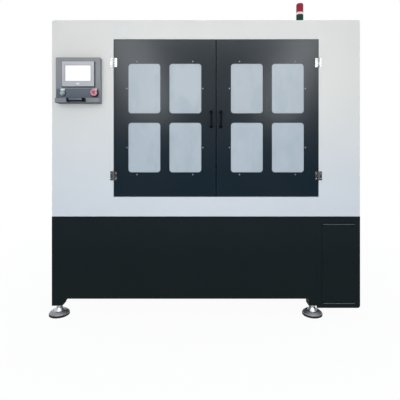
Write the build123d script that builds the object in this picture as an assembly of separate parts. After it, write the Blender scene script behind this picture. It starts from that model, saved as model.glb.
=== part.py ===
from build123d import *
import os

# Enclosed drilling machine for rows of holes in bar edges. Millimetres, +Z up, the front faces -Y.
# The origin lies on the floor, under the middle of the box round the whole machine.

# Cabinet
cabinet_w = 1850.0
cabinet_d = 1200.0
base_h = 535.0
upper_h = 1180.0
skin = 2.0
base_skin = 3.0
corner_r = 12.0
edge_r = 4.0
return_d = 45.0
panel_gap = 1.0
skirt_rise = 42.0
gusset_run = 32.0
frame_tube = 60.0
frame_wall = 4.0
upper_tube = 40.0
upper_wall = 2.5
bearer_gap = 10.0
service_w = 261.0
leg_lap = 13.0
service_drop = 13.0
service_corner_r = 15.0
cover_w = 197.0
cover_h = 483.0
cover_t = 4.0
cover_lap = 9.0
cover_drop = 40.0
vent_slot_w = 120.0
vent_slot_h = 6.0
vent_pitch = 18.0
vent_count = 8
vent_rise = 350.0

# Levelling feet
foot_h = 65.0
foot_r = 60.0
rubber_h = 10.0
rubber_edge = 2.0
rim_h = 16.0
pad_inset = 2.0
shoulder_r = 46.0
shoulder_h = 25.0
dome_rise = 6.0
boss_flare = 6.0
boss_step = 2.0
boss_r = 24.0
boss_top_r = 16.0
boss_h = 50.0
stud_r = 10.0
stud_seat = 40.0
stud_reach = 70.0
leg_plate_t = 10.0
foot_nut_af = 30.0
foot_nut_h = 12.0
thread_clear = 0.05

# Doors
door_from_left = 986.0
door_sill = 121.0
window_w = 191.0
window_h = 297.0
window_r = 18.0
stile_w = 87.0
mullion_w = 55.0
rail_h = 145.0
mid_rail_h = 57.0
door_t = 25.0
door_edge_r = 1.5
door_gap = 2.5
meeting_gap = 4.0
pane_t = 5.0
pane_lap = 30.0
screw_side_gap = 9.0
screw_end_gap = 13.5
screw_end_inset = 51.0
screw_head_r = 4.5
screw_head_h = 2.5
screw_dome = 1.5
screw_r = 2.0
screw_clear = 0.2
screw_nut_r = 4.5
screw_nut_h = 4.0
handle_l = 108.0
handle_w = 22.0
handle_reach = 42.0
handle_bar = 11.0
handle_r = 4.0
handle_bend = 0.45
handle_from_seam = 26.5
handle_drop = 8.0
hinge_h = 54.0
hinge_leaf_w = 20.0
hinge_leaf_t = 2.5
knuckle_r = 4.5
knuckle_count = 3
knuckle_gap = 0.4
knuckle_clear = 0.3
hinge_pin_r = 2.5
pin_clear = 0.05
pin_head_r = 3.6
pin_head_h = 1.5
hinge_from_top = 138.0
hinge_from_bottom = 124.0
magnet_w = 44.0
magnet_s = 15.0
magnet_gap = 0.5
magnet_from_seam = 60.0

# Control box
console_from_left = 172.0
console_w = 259.0
console_drop = 236.0
console_screen_h = 180.0
console_plate_h = 60.0
console_lip_h = 28.0
console_top_d = 45.0
console_lip_d = 60.0
console_wall = 3.0
console_r = 4.0
panel_shift = 5.0
bezel_w = 187.0
bezel_h = 146.0
bezel_t = 14.0
bezel_drop = 26.0
bezel_r = 4.0
bezel_edge = 2.0
screen_w = 149.0
screen_h = 92.0
screen_rise = 31.0
screen_sink = 2.0
screen_t = 4.0
panel_body_w = 176.0
panel_body_h = 134.0
panel_body_d = 30.0
panel_fit = 0.5
plate_margin = 3.0
plate_inset = 3.0
plate_t = 3.0
button_spread = 94.0
start_r = 11.0
start_collar_r = 15.0
start_proud = 9.0
start_travel = 4.0
start_edge = 1.5
stop_r = 20.0
stop_neck_r = 11.0
stop_collar_r = 15.0
stop_cap_h = 16.0
stop_dome = 8.0
stop_proud = 9.0
stop_neck_h = 3.0
collar_h = 5.0
collar_edge = 1.5
button_clear = 0.3
cut_over = 1.0
button_stem_r = 5.0
button_depth = 14.0
console_handle_l = 104.0
console_handle_w = 24.0
console_handle_reach = 32.0

# Signal tower
tower_from_left = 1516.0
tower_setback = 110.0
tower_r = 22.0
tower_base_h = 28.0
green_h = 42.0
band_h = 12.0
band_r = 20.5
red_h = 60.0
dome_r = 11.0
lens_wall = 3.0
lamp_post_r = 8.0
post_clear = 0.3

# Drilling machine inside
bed_l = 1200.0
bed_d = 560.0
bed_h = 120.0
bed_setback = 180.0
bed_wall = 20.0
bed_rib_t = 20.0
upright_w = 140.0
upright_h = 200.0
beam_h = 200.0
beam_wall = 12.0
rail_w = 28.0
rail_t = 26.0
rail_end = 50.0
x_rail_pitch = 140.0
carriage_l = 98.0
carriage_w = 60.0
carriage_h = 42.0
carriage_clear = 0.2
carriage_lift = 6.5
saddle_w = 280.0
saddle_h = 420.0
saddle_t = 25.0
saddle_low = 60.0
saddle_carriage_pitch = 170.0
z_rail_end = 10.0
z_rail_pitch = 190.0
screw_shaft_r = 10.0
nut_s = 44.0
nut_l = 70.0
nut_room = 4.0
shaft_clear = 0.05
bearing_s = 50.0
bearing_l = 30.0
coupling_r = 16.0
coupling_l = 36.0
coupling_gap = 5.0
head_w = 250.0
head_h = 230.0
head_t = 22.0
head_carriage_pitch = 130.0
head_margin = 10.0
motor_s = 90.0
motor_l = 150.0
motor_cap_l = 30.0
motor_cap_r = 38.0
motor_plate_s = 104.0
motor_plate_t = 10.0
motor_edge = 8.0
shaft_hole_clear = 2.0
housing_r = 45.0
housing_l = 230.0
housing_low = 145.0
housing_web_w = 70.0
spindle_offset = 70.0
spindle_motor_r = 60.0
spindle_motor_l = 170.0
spindle_r = 16.0
bore_cap = 10.0
collet_r = 25.0
collet_gap = 1.0
collet_l = 40.0
drill_r = 5.0
drill_l = 60.0
drill_grip = 25.0
drill_tip = 3.0
fixture_l = 1000.0
fixture_margin = 10.0
fixture_t = 20.0
fence_h = 90.0
fence_t = 30.0
fence_gap = 15.0
bar_rest_w = 20.0
bar_rest_h = 6.0
clamp_count = 4
clamp_pitch = 260.0
clamp_body = 50.0
clamp_body_l = 60.0
clamp_rod_r = 8.0
clamp_rod_in = 30.0
clamp_pad_r = 18.0
clamp_pad_t = 10.0
clamp_gap = 35.0
clamp_stand = 6.0

# Chip tray and electrics
tray_l = 1300.0
tray_d = 760.0
tray_h = 100.0
tray_wall = 3.0
board_l = 900.0
board_h = 420.0
board_stand = 12.0
stand_pitch_y = 600.0
stand_pitch_z = 280.0
row_rise = 105.0
unit_depth = 120.0
unit_h = 170.0
unit_w = 70.0
unit_gap = 20.0
drive_count = 4
relay_w = 40.0
relay_h = 80.0
relay_depth = 70.0
relay_count = 8
gland_r = 14.0
gland_nut_r = 18.0
gland_nut_h = 10.0
gland_dome_h = 18.0
gland_bore_r = 8.0
gland_rise = 120.0

# Datums worked out from the sizes above
foot_inset = base_skin + frame_tube / 2
foot_overhang = foot_r - foot_inset
deepest_front = max(console_lip_d + console_handle_reach, handle_reach)
total_w = foot_overhang + cabinet_w
deepest_back = max(foot_overhang, gland_nut_h + gland_dome_h)
total_d = deepest_front + cabinet_d + deepest_back
left_x = foot_overhang - total_w / 2
right_x = left_x + cabinet_w
front_y = deepest_front - total_d / 2
back_y = front_y + cabinet_d
seam_z = foot_h + base_h
roof_z = seam_z + upper_h
skirt_z = foot_h + skirt_rise
base_w = cabinet_w - service_w
door_w = 2 * stile_w + 2 * window_w + mullion_w
door_h = 2 * rail_h + 2 * window_h + mid_rail_h
door_cx = left_x + door_from_left
door_z0 = seam_z + door_sill
door_z1 = door_z0 + door_h
open_x0 = door_cx - meeting_gap / 2 - door_w - door_gap
open_x1 = door_cx + meeting_gap / 2 + door_w + door_gap
open_z0 = door_z0 - door_gap
open_z1 = door_z1 + door_gap

parts = {}


def span(middle, width):
    """Low and high ends of a width about its middle."""
    return (middle - width / 2, middle + width / 2)


def block(x, y, z):
    """Box between pairs of low and high values."""
    centre = Pos((x[0] + x[1]) / 2, (y[0] + y[1]) / 2, (z[0] + z[1]) / 2)
    return centre * Box(x[1] - x[0], y[1] - y[0], z[1] - z[0])


def rod_x(x, y, z, radius):
    """Round bar along X between a pair of x values."""
    return Pos((x[0] + x[1]) / 2, y, z) * Rot(0, 90, 0) * Cylinder(radius, x[1] - x[0])


def rod_y(x, y, z, radius):
    """Round bar along Y between a pair of y values."""
    return Pos(x, (y[0] + y[1]) / 2, z) * Rot(90, 0, 0) * Cylinder(radius, y[1] - y[0])


def rod_z(x, y, z, radius):
    """Round bar along Z between a pair of z values."""
    return Pos(x, y, (z[0] + z[1]) / 2) * Cylinder(radius, z[1] - z[0])


def tube(x, y, z, along, wall):
    """Square tube between pairs of values, hollow along one axis: 0, 1 or 2."""
    spans = [x, y, z]
    inner = [s if i == along else (s[0] + wall, s[1] - wall) for i, s in enumerate(spans)]
    return block(x, y, z) - block(*inner)


def group(solids):
    """Separate solids kept together in one node."""
    return Compound([solid for shape in solids for solid in shape.solids()])


def rounded_top(x, y, z, radius):
    """Block whose two upper edges along Y are rounded."""
    body = block(x, y, z)
    return fillet(body.edges().filter_by(Axis.Y).group_by(Axis.Z)[-1], radius)


# Base frame of square tube with a plate under each leg, and the upper frame that carries the white panels
leg_x = [left_x + base_skin, left_x + base_w + leg_lap - frame_tube]
leg_y = [front_y + base_skin, back_y - base_skin - frame_tube]
frame_x = (leg_x[0], leg_x[1] + frame_tube)
frame_y = (leg_y[0], leg_y[1] + frame_tube)
rail_top_z = (seam_z - frame_tube, seam_z)
rail_low_z = (skirt_z, skirt_z + frame_tube)
inner_x = (leg_x[0] + frame_tube, leg_x[1])
inner_y = (leg_y[0] + frame_tube, leg_y[1])
foot_places = [(x + frame_tube / 2, y + frame_tube / 2) for x in leg_x for y in leg_y]
bed_cx = door_cx
bed_x = span(bed_cx, bed_l)
bed_y = (front_y + bed_setback, front_y + bed_setback + bed_d)
bearer_x = [
    max(bed_x[0] + frame_tube, inner_x[0] + bearer_gap),
    min(bed_x[1] - frame_tube, inner_x[1] - bearer_gap) - frame_tube,
]
tray_cx = (inner_x[0] + inner_x[1]) / 2
tray_x = span(tray_cx, tray_l)
tray_bearer_x = [tray_x[0] + frame_tube, tray_x[1] - 2 * frame_tube]

tubes = []
for x in leg_x:
    for y in leg_y:
        leg = tube((x, x + frame_tube), (y, y + frame_tube), (foot_h, seam_z), 2, frame_wall)
        plate = block((x, x + frame_tube), (y, y + frame_tube), (foot_h, foot_h + leg_plate_t))
        hole_z = (foot_h, foot_h + leg_plate_t)
        hole = rod_z(x + frame_tube / 2, y + frame_tube / 2, hole_z, stud_r + thread_clear)
        tubes.append(leg + plate - hole)
for z in (rail_low_z, rail_top_z):
    for y in leg_y:
        tubes.append(tube(inner_x, (y, y + frame_tube), z, 0, frame_wall))
    for x in leg_x:
        tubes.append(tube((x, x + frame_tube), inner_y, z, 1, frame_wall))
for x in bearer_x:
    tubes.append(tube((x, x + frame_tube), inner_y, rail_top_z, 1, frame_wall))
for x in tray_bearer_x:
    tubes.append(tube((x, x + frame_tube), inner_y, rail_low_z, 1, frame_wall))

post_x = [left_x + skin, right_x - skin - upper_tube]
post_y = [front_y + skin, back_y - skin - upper_tube]
top_rail_z = (roof_z - skin - upper_tube, roof_z - skin)
post_z = (seam_z + skin, top_rail_z[0])
door_post_x = [open_x0 - skin - upper_tube, open_x1 + skin]
corner_clear = corner_r - skin
for y in post_y:
    for x in post_x:
        tubes.append(tube((x, x + upper_tube), (y, y + upper_tube), post_z, 2, upper_wall))
    rail_x = (post_x[0] + corner_clear, post_x[1] + upper_tube - corner_clear)
    tubes.append(tube(rail_x, (y, y + upper_tube), top_rail_z, 0, upper_wall))
for x in (post_x[0] + corner_clear, post_x[1] - corner_clear):
    side_rail_y = (post_y[0] + upper_tube, post_y[1])
    tubes.append(tube((x, x + upper_tube), side_rail_y, top_rail_z, 1, upper_wall))
for x in door_post_x:
    tubes.append(tube((x, x + upper_tube), (post_y[0], post_y[0] + upper_tube), post_z, 2, upper_wall))
parts["cabinet_frame"] = group(tubes)

# Levelling feet: rubber ring, domed steel pad, stud with its locking nut
pad_outline = Polyline(
    (0, rubber_h),
    (foot_r - pad_inset, rubber_h),
    (foot_r - pad_inset, rim_h),
    (shoulder_r, shoulder_h),
    (boss_r + boss_flare, shoulder_h + dome_rise),
    (boss_r, shoulder_h + dome_rise + boss_step),
    (boss_top_r, boss_h),
    (0, boss_h),
    close=True,
)
pad = revolve(Plane.XZ * make_face(pad_outline), Axis.Z)
socket = rod_z(0, 0, (stud_seat, boss_h), stud_r + thread_clear)
pad = pad - socket
rubber = rod_z(0, 0, (0, rubber_h), foot_r)
rubber = fillet(rubber.edges().group_by(Axis.Z)[0], rubber_edge)
stud = rod_z(0, 0, (stud_seat, foot_h + stud_reach), stud_r)
nut_z = (foot_h - foot_nut_h, foot_h)
foot_nut = extrude(Pos(0, 0, nut_z[0]) * RegularPolygon(foot_nut_af / 2, 6, major_radius=False), foot_nut_h)
foot_nut = foot_nut - rod_z(0, 0, nut_z, stud_r + thread_clear)
parts["foot_pads"] = group([Pos(x, y, 0) * pad for x, y in foot_places])
parts["foot_rubbers"] = group([Pos(x, y, 0) * rubber for x, y in foot_places])
parts["foot_studs"] = group([Pos(x, y, 0) * piece for x, y in foot_places for piece in (stud, foot_nut)])

# Black base: front apron with its leg shapes, and the left and back skirts
leg_face_w = frame_tube + base_skin
apron = Polyline(
    (left_x, foot_h),
    (left_x + leg_face_w, foot_h),
    (left_x + leg_face_w + gusset_run, skirt_z),
    (leg_x[1], skirt_z),
    (leg_x[1], foot_h),
    (left_x + base_w, foot_h),
    (left_x + base_w, seam_z),
    (left_x, seam_z),
    close=True,
)
apron_face = Plane.XZ * make_face(apron)
parts["base_front_panel"] = Pos(0, front_y, 0) * extrude(apron_face, base_skin, dir=(0, 1, 0))
side_skirt = block((left_x, left_x + base_skin), (frame_y[0], frame_y[1]), (skirt_z, seam_z))
back_skirt = block((left_x, left_x + base_w), (back_y - base_skin, back_y), (skirt_z, seam_z))
parts["base_skirts"] = group([side_skirt, back_skirt])

# Electrical box beside the base: folded shell, front cover, wiring panel and cable gland
service_x = (left_x + base_w + panel_gap, right_x)
service_z = (foot_h - service_drop, seam_z)
shell_x = (frame_x[1] + panel_gap, right_x)
body = block(shell_x, (front_y, back_y), service_z)
body = fillet(body.edges().filter_by(Axis.Y).sort_by(Axis.Z)[:2].sort_by(Axis.X)[-1:], service_corner_r)
hollow = block(
    (shell_x[0] + base_skin, shell_x[1] - base_skin),
    (front_y + base_skin, back_y - base_skin),
    (service_z[0] + base_skin, service_z[1] - base_skin),
)
hollow = fillet(
    hollow.edges().filter_by(Axis.Y).sort_by(Axis.Z)[:2].sort_by(Axis.X)[-1:], service_corner_r - base_skin
)
front_strip = block((service_x[0], shell_x[0]), (front_y, front_y + base_skin), service_z)
cover_cx = (service_x[0] + service_x[1]) / 2
cover_z = (seam_z - cover_drop - cover_h, seam_z - cover_drop)
cover_mid_z = (cover_z[0] + cover_z[1]) / 2
access = block(
    span(cover_cx, cover_w - 2 * cover_lap),
    (front_y - base_skin, front_y + 2 * base_skin),
    span(cover_mid_z, cover_h - 2 * cover_lap),
)
gland_x = (service_x[0] + service_x[1]) / 2
gland_z = service_z[0] + gland_rise
gland_hole = rod_y(gland_x, (back_y - 2 * base_skin, back_y + base_skin), gland_z, gland_r + thread_clear)
box_shell = body + front_strip - hollow - access - gland_hole
for i in range(vent_count):
    slot_z = service_z[0] + vent_rise + i * vent_pitch
    slot_y = (back_y - 2 * base_skin, back_y + base_skin)
    slot = block(span(gland_x, vent_slot_w), slot_y, span(slot_z, vent_slot_h))
    box_shell = box_shell - slot
parts["service_box"] = box_shell
cover = block(span(cover_cx, cover_w), (front_y - cover_t, front_y), span(cover_mid_z, cover_h))
cover = fillet(cover.edges().filter_by(Axis.Y), edge_r)
parts["access_cover"] = chamfer(cover.faces().sort_by(Axis.Y)[0].edges(), cover_t / 2)

gland_nut = extrude(Plane.XZ * RegularPolygon(gland_nut_r, 6), gland_nut_h, dir=(0, 1, 0))
gland_nut = Pos(gland_x, back_y, gland_z) * gland_nut
dome = rod_y(gland_x, (back_y + gland_nut_h, back_y + gland_nut_h + gland_dome_h), gland_z, gland_r)
gland_tail = rod_y(gland_x, (back_y - 3 * base_skin, back_y), gland_z, gland_r)
gland_bore = rod_y(gland_x, (back_y - 4 * base_skin, back_y + 2 * foot_r), gland_z, gland_bore_r)
parts["cable_gland"] = gland_nut + dome + gland_tail - gland_bore

board_x = (shell_x[0] + base_skin + board_stand, shell_x[0] + 2 * base_skin + board_stand)
board_cy = (front_y + back_y) / 2
board_cz = (service_z[0] + service_z[1]) / 2
wiring = [block(board_x, span(board_cy, board_l), span(board_cz, board_h))]
for y in span(board_cy, stand_pitch_y):
    for z in span(board_cz, stand_pitch_z):
        wiring.append(rod_x((board_x[0] - board_stand, board_x[0]), y, z, screw_nut_r))
unit_x = (board_x[1], board_x[1] + unit_depth)
for i in range(drive_count):
    unit_y = board_cy + (i - (drive_count - 1) / 2) * (unit_w + unit_gap)
    wiring.append(block(unit_x, span(unit_y, unit_w), span(board_cz + row_rise, unit_h)))
relay_x = (board_x[1], board_x[1] + relay_depth)
for i in range(relay_count):
    relay_y = board_cy + (i - (relay_count - 1) / 2) * (relay_w + unit_gap)
    wiring.append(block(relay_x, span(relay_y, relay_w), span(board_cz - row_rise, relay_h)))
parts["wiring_panel"] = group(wiring)

# White upper panels: front with the door opening and its folded jambs, back, sides and roof
shell_span_x = (left_x, right_x)
shell_span_z = (seam_z, roof_z)


def folded_panel(y_face, inward):
    """Front or back panel with rounded top corners and edges returned inwards."""
    y_end = y_face + inward * return_d
    outer = rounded_top(shell_span_x, (min(y_face, y_end), max(y_face, y_end)), shell_span_z, corner_r)
    face = outer.faces().sort_by(Axis.Y)[0 if inward > 0 else -1]
    outer = fillet(face.edges(), edge_r)
    y_in = y_face + inward * skin
    y_out = y_end + inward * skin
    inner = rounded_top(
        (left_x + skin, right_x - skin),
        (min(y_in, y_out), max(y_in, y_out)),
        (seam_z + skin, roof_z - skin),
        corner_r - skin,
    )
    return outer - inner


opening = block((open_x0, open_x1), (front_y - skin, front_y + return_d + skin), (open_z0, open_z1))
jamb = block(
    (open_x0 - skin, open_x1 + skin),
    (front_y + skin, front_y + return_d),
    (open_z0 - skin, open_z1 + skin),
)
parts["enclosure_front"] = folded_panel(front_y, 1) + jamb - opening
parts["enclosure_back"] = folded_panel(back_y, -1)
side_y = (front_y + return_d + panel_gap, back_y - return_d - panel_gap)
roof_lip_z = roof_z - return_d
side_z = (seam_z, roof_lip_z - panel_gap)
left_side = block((left_x, left_x + skin), side_y, side_z)
right_side = block((right_x - skin, right_x), side_y, side_z)
parts["enclosure_sides"] = group([left_side, right_side])
roof_outer = rounded_top(shell_span_x, side_y, (roof_lip_z, roof_z), corner_r)
roof_inner = rounded_top(
    (left_x + skin, right_x - skin),
    (side_y[0] - skin, side_y[1] + skin),
    (roof_lip_z - skin, roof_z - skin),
    corner_r - skin,
)
parts["enclosure_roof"] = roof_outer - roof_inner

# Door magnets on the upper jamb
magnet_y = (front_y + door_t + magnet_gap, front_y + door_t + magnet_gap + magnet_s)
magnets = []
for side in (-1, 1):
    magnet_x = door_cx + side * magnet_from_seam
    magnets.append(block(span(magnet_x, magnet_w), magnet_y, (open_z1 - magnet_s, open_z1)))
parts["door_magnets"] = group(magnets)


def bridge_handle(length, width, reach, bar):
    """Bridge handle along Z on the plane y = 0, standing out towards -Y."""
    outer = block(span(0, width), (-reach, 0), span(0, length))
    outer = fillet(outer.edges().filter_by(Axis.X).group_by(Axis.Y)[0], reach * handle_bend)
    inner = block(span(0, 2 * width), (bar - reach, reach), span(0, length - 2 * bar))
    inner = fillet(inner.edges().filter_by(Axis.X).group_by(Axis.Y)[0], (reach - bar) * handle_bend)
    handle = outer - inner
    outside = [e for e in handle.edges().filter_by(Axis.Z) if e.center().Y < bar - reach - bar / 2]
    return fillet(outside, min(handle_r, bar / 3))


def hinge_leaf(x_axis, direction, z_mid, own, other):
    """Hinge leaf lying on the front, with its knuckles and room for the other leaf's."""
    y_axis = front_y - knuckle_r - knuckle_clear
    x_far = x_axis + direction * hinge_leaf_w
    z = span(z_mid, hinge_h)
    leaf = block((min(x_axis, x_far), max(x_axis, x_far)), (front_y - hinge_leaf_t, front_y), z)
    reach = knuckle_r + 2 * knuckle_gap
    for low, high in other:
        room = (z_mid + low - knuckle_gap, z_mid + high + knuckle_gap)
        leaf = leaf - block(span(x_axis, 2 * reach), (front_y - 3 * knuckle_r, front_y + skin), room)
    for low, high in own:
        leaf = leaf + rod_z(x_axis, y_axis, (z_mid + low, z_mid + high), knuckle_r)
    bore = rod_z(x_axis, y_axis, span(z_mid, hinge_h + 2 * knuckle_r), hinge_pin_r + pin_clear)
    return leaf - bore


half_knuckle = hinge_h / knuckle_count / 2
middle_knuckle = [(knuckle_gap / 2 - half_knuckle, half_knuckle - knuckle_gap / 2)]
end_knuckles = [
    (-hinge_h / 2, -half_knuckle - knuckle_gap / 2),
    (half_knuckle + knuckle_gap / 2, hinge_h / 2),
]
hinge_z = [door_z0 + hinge_from_bottom, door_z1 - hinge_from_top]
hinge_y = front_y - knuckle_r - knuckle_clear
fixed_leaves = []
hinge_pins = []

# Doors: folded skin with four windows, one pane behind, its screws, the handle and the hinge leaves
for side, name in ((-1, "left"), (1, "right")):
    seam_x = door_cx + side * meeting_gap / 2
    outer_x = seam_x + side * door_w
    door_x = (min(seam_x, outer_x), max(seam_x, outer_x))
    mid_x = (door_x[0] + door_x[1]) / 2
    mid_z = (door_z0 + door_z1) / 2
    column_x = [mid_x - (mullion_w + window_w) / 2, mid_x + (mullion_w + window_w) / 2]
    row_z = [mid_z - (mid_rail_h + window_h) / 2, mid_z + (mid_rail_h + window_h) / 2]

    door = block(door_x, (front_y, front_y + door_t), (door_z0, door_z1))
    door = fillet(door.faces().sort_by(Axis.Y)[0].edges(), door_edge_r)
    door = door - block(
        (door_x[0] + skin, door_x[1] - skin),
        (front_y + skin, front_y + door_t + skin),
        (door_z0 + skin, door_z1 - skin),
    )
    for x in column_x:
        for z in row_z:
            window = block(span(x, window_w), (front_y - skin, front_y + 2 * skin), span(z, window_h))
            door = door - fillet(window.edges().filter_by(Axis.Y), window_r)

    side_x = mullion_w / 2 + window_w + screw_side_gap
    end_x = mullion_w / 2 + window_w - screw_end_inset
    end_z = mid_rail_h / 2 + window_h + screw_end_gap
    screw_places = [(mid_x + s * side_x, z) for s in (-1, 1) for z in row_z]
    screw_places += [(mid_x + s * end_x, mid_z + t * end_z) for s in (-1, 1) for t in (-1, 1)]
    pane_w = 2 * window_w + mullion_w + 2 * pane_lap
    pane_h = 2 * window_h + mid_rail_h + 2 * pane_lap
    pane_y = (front_y + skin, front_y + skin + pane_t)
    pane = block(span(mid_x, pane_w), pane_y, span(mid_z, pane_h))
    screws = []
    for x, z in screw_places:
        hole = rod_y(x, (front_y - skin, pane_y[1] + skin), z, screw_r + screw_clear)
        door = door - hole
        pane = pane - hole
        head = rod_y(x, (front_y - screw_head_h, front_y), z, screw_head_r)
        head = fillet(head.edges().group_by(Axis.Y)[0], screw_dome)
        shank = rod_y(x, (front_y, pane_y[1] + screw_nut_h), z, screw_r)
        nut = rod_y(x, (pane_y[1], pane_y[1] + screw_nut_h), z, screw_nut_r)
        screws.append(head + shank + nut)
    parts[name + "_door"] = door
    parts[name + "_window"] = pane
    parts[name + "_window_screws"] = group(screws)
    handle = bridge_handle(handle_l, handle_w, handle_reach, handle_bar)
    handle_z = mid_z - handle_drop
    parts[name + "_door_handle"] = Pos(seam_x + side * handle_from_seam, front_y, handle_z) * handle

    axis_x = outer_x + side * door_gap / 2
    door_leaves = []
    for z in hinge_z:
        fixed_leaves.append(hinge_leaf(axis_x, side, z, end_knuckles, middle_knuckle))
        door_leaves.append(hinge_leaf(axis_x, -side, z, middle_knuckle, end_knuckles))
        pin = rod_z(axis_x, hinge_y, span(z, hinge_h), hinge_pin_r)
        pin = pin + rod_z(axis_x, hinge_y, (z + hinge_h / 2, z + hinge_h / 2 + pin_head_h), pin_head_r)
        hinge_pins.append(pin)
    parts[name + "_hinge_leaves"] = group(door_leaves)
parts["fixed_hinge_leaves"] = group(fixed_leaves)
parts["hinge_pins"] = group(hinge_pins)

# Control box: a folded housing, deeper below, with the touch panel, button plate, handle and buttons
console_cx = left_x + console_from_left
console_z1 = roof_z - console_drop
plate_top_z = console_z1 - console_screen_h
lip_top_z = plate_top_z - console_plate_h
console_z0 = lip_top_z - console_lip_h
console_x = span(console_cx, console_w)
panel_cx = console_cx + panel_shift
top_y = front_y - console_top_d
lip_y = front_y - console_lip_d
plate_y = top_y + plate_inset
profile = Polyline(
    (front_y, console_z0),
    (lip_y, console_z0),
    (lip_y, lip_top_z),
    (top_y, lip_top_z),
    (top_y, console_z1),
    (front_y, console_z1),
    close=True,
)
housing = extrude(Plane.YZ * make_face(profile), console_w)
housing = Pos(console_x[0], 0, 0) * housing
low_front = housing.edges().filter_by(Axis.X).sort_by(Axis.Z)[:2].sort_by(Axis.Y)[0]
side_low = housing.edges().filter_by(Axis.Y).group_by(Axis.Z)[0]
housing = fillet([low_front] + list(side_low), console_r)
cavity_x = (console_x[0] + console_wall, console_x[1] - console_wall)
cavity_z = (console_z0 + console_r, console_z1 - console_wall)
cavity = block(cavity_x, (top_y + 2 * console_wall, front_y), cavity_z)
housing = housing - cavity
bezel_z1 = console_z1 - bezel_drop
bezel_mid_z = bezel_z1 - bezel_h / 2
body_y = (top_y, top_y + panel_body_d)
panel_hole = block(
    span(panel_cx, panel_body_w),
    (top_y - cut_over, front_y),
    span(bezel_mid_z, panel_body_h),
)
plate_x = (console_x[0] + plate_margin, console_x[1] - plate_margin)
plate_z = (lip_top_z, plate_top_z - plate_inset)
plate_recess = block(plate_x, (top_y - cut_over, plate_y), plate_z)
button_z = (lip_top_z + plate_top_z) / 2
start_x = panel_cx - button_spread
stop_x = panel_cx + button_spread
housing = housing - panel_hole - plate_recess
button_plate = block(plate_x, (plate_y - plate_t, plate_y), plate_z)
face_y = plate_y - plate_t
stem_y = (face_y - collar_h, face_y + button_depth)
collars = []
for x, collar_r in ((start_x, start_collar_r), (stop_x, stop_collar_r)):
    bore = rod_y(x, (stem_y[0] - cut_over, front_y), button_z, button_stem_r + button_clear)
    button_plate = button_plate - bore
    housing = housing - rod_y(x, (plate_y - cut_over, front_y), button_z, button_stem_r + button_clear)
    collar = rod_y(x, (face_y - collar_h, face_y), button_z, collar_r)
    collar = fillet(collar.edges().group_by(Axis.Y)[0], collar_edge)
    collars.append(collar - bore)
parts["console_housing"] = housing
parts["button_plate"] = button_plate
parts["button_collars"] = group(collars)

bezel = block(span(panel_cx, bezel_w), (top_y - bezel_t, top_y), span(bezel_mid_z, bezel_h))
bezel = fillet(bezel.edges().filter_by(Axis.Y), bezel_r)
bezel = fillet(bezel.faces().sort_by(Axis.Y)[0].edges(), bezel_edge)
panel_x = span(panel_cx, panel_body_w - 2 * panel_fit)
panel_body = block(panel_x, body_y, span(bezel_mid_z, panel_body_h - 2 * panel_fit))
screen_mid_z = bezel_mid_z - bezel_h / 2 + screen_rise + screen_h / 2
screen_y = (top_y - bezel_t + screen_sink, top_y - bezel_t + screen_sink + screen_t)
screen_cut_y = (top_y - bezel_t - cut_over, screen_y[1])
screen_cut = block(span(panel_cx, screen_w), screen_cut_y, span(screen_mid_z, screen_h))
parts["touch_panel"] = bezel + panel_body - screen_cut
parts["touch_screen"] = block(span(panel_cx, screen_w), screen_y, span(screen_mid_z, screen_h))

cap_back = stem_y[0] - button_clear - start_travel
cap = rod_y(start_x, (stem_y[0] - start_proud, cap_back), button_z, start_r)
cap = fillet(cap.edges().group_by(Axis.Y)[0], start_edge)
stem = rod_y(start_x, (cap_back, stem_y[1]), button_z, button_stem_r)
parts["start_button"] = cap + stem
neck_y = (stem_y[0] - stop_proud, stem_y[0] - stop_proud + stop_neck_h)
mushroom = rod_y(stop_x, (neck_y[0] - stop_cap_h, neck_y[0]), button_z, stop_r)
mushroom = fillet(mushroom.edges().group_by(Axis.Y)[0], stop_dome)
neck = rod_y(stop_x, neck_y, button_z, stop_neck_r)
stop_stem = rod_y(stop_x, (neck_y[1], stem_y[1]), button_z, button_stem_r)
parts["emergency_stop"] = mushroom + neck + stop_stem

grip = bridge_handle(console_handle_l, console_handle_w, console_handle_reach, handle_bar)
grip_z = lip_top_z - console_lip_h / 2
parts["console_handle"] = Pos(console_cx, lip_y, grip_z) * Rot(0, 90, 0) * grip

# Signal tower on the roof
tower_x = left_x + tower_from_left
tower_y = front_y + tower_setback
green_z = (roof_z + tower_base_h, roof_z + tower_base_h + green_h)
band_z = (green_z[1], green_z[1] + band_h)
red_z = (band_z[1], band_z[1] + red_h)
post_top = red_z[1] - dome_r - lens_wall
tower_base = rod_z(tower_x, tower_y, (roof_z, green_z[0]), tower_r)
tower_base = tower_base + rod_z(tower_x, tower_y, (green_z[0], post_top), lamp_post_r)
post_room = rod_z(tower_x, tower_y, (roof_z, post_top + post_clear), lamp_post_r + post_clear)
green_room = rod_z(tower_x, tower_y, (green_z[0], green_z[1] - lens_wall), tower_r - lens_wall)
green = rod_z(tower_x, tower_y, green_z, tower_r) - green_room - post_room
band = rod_z(tower_x, tower_y, band_z, band_r) - post_room
red = rod_z(tower_x, tower_y, red_z, tower_r)
red = fillet(red.edges().group_by(Axis.Z)[-1], dome_r)
red = red - rod_z(tower_x, tower_y, (red_z[0], post_top + post_clear), tower_r - lens_wall)
parts["tower_base"] = tower_base
parts["tower_green_lens"] = green
parts["tower_band"] = band
parts["tower_red_lens"] = red

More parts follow.
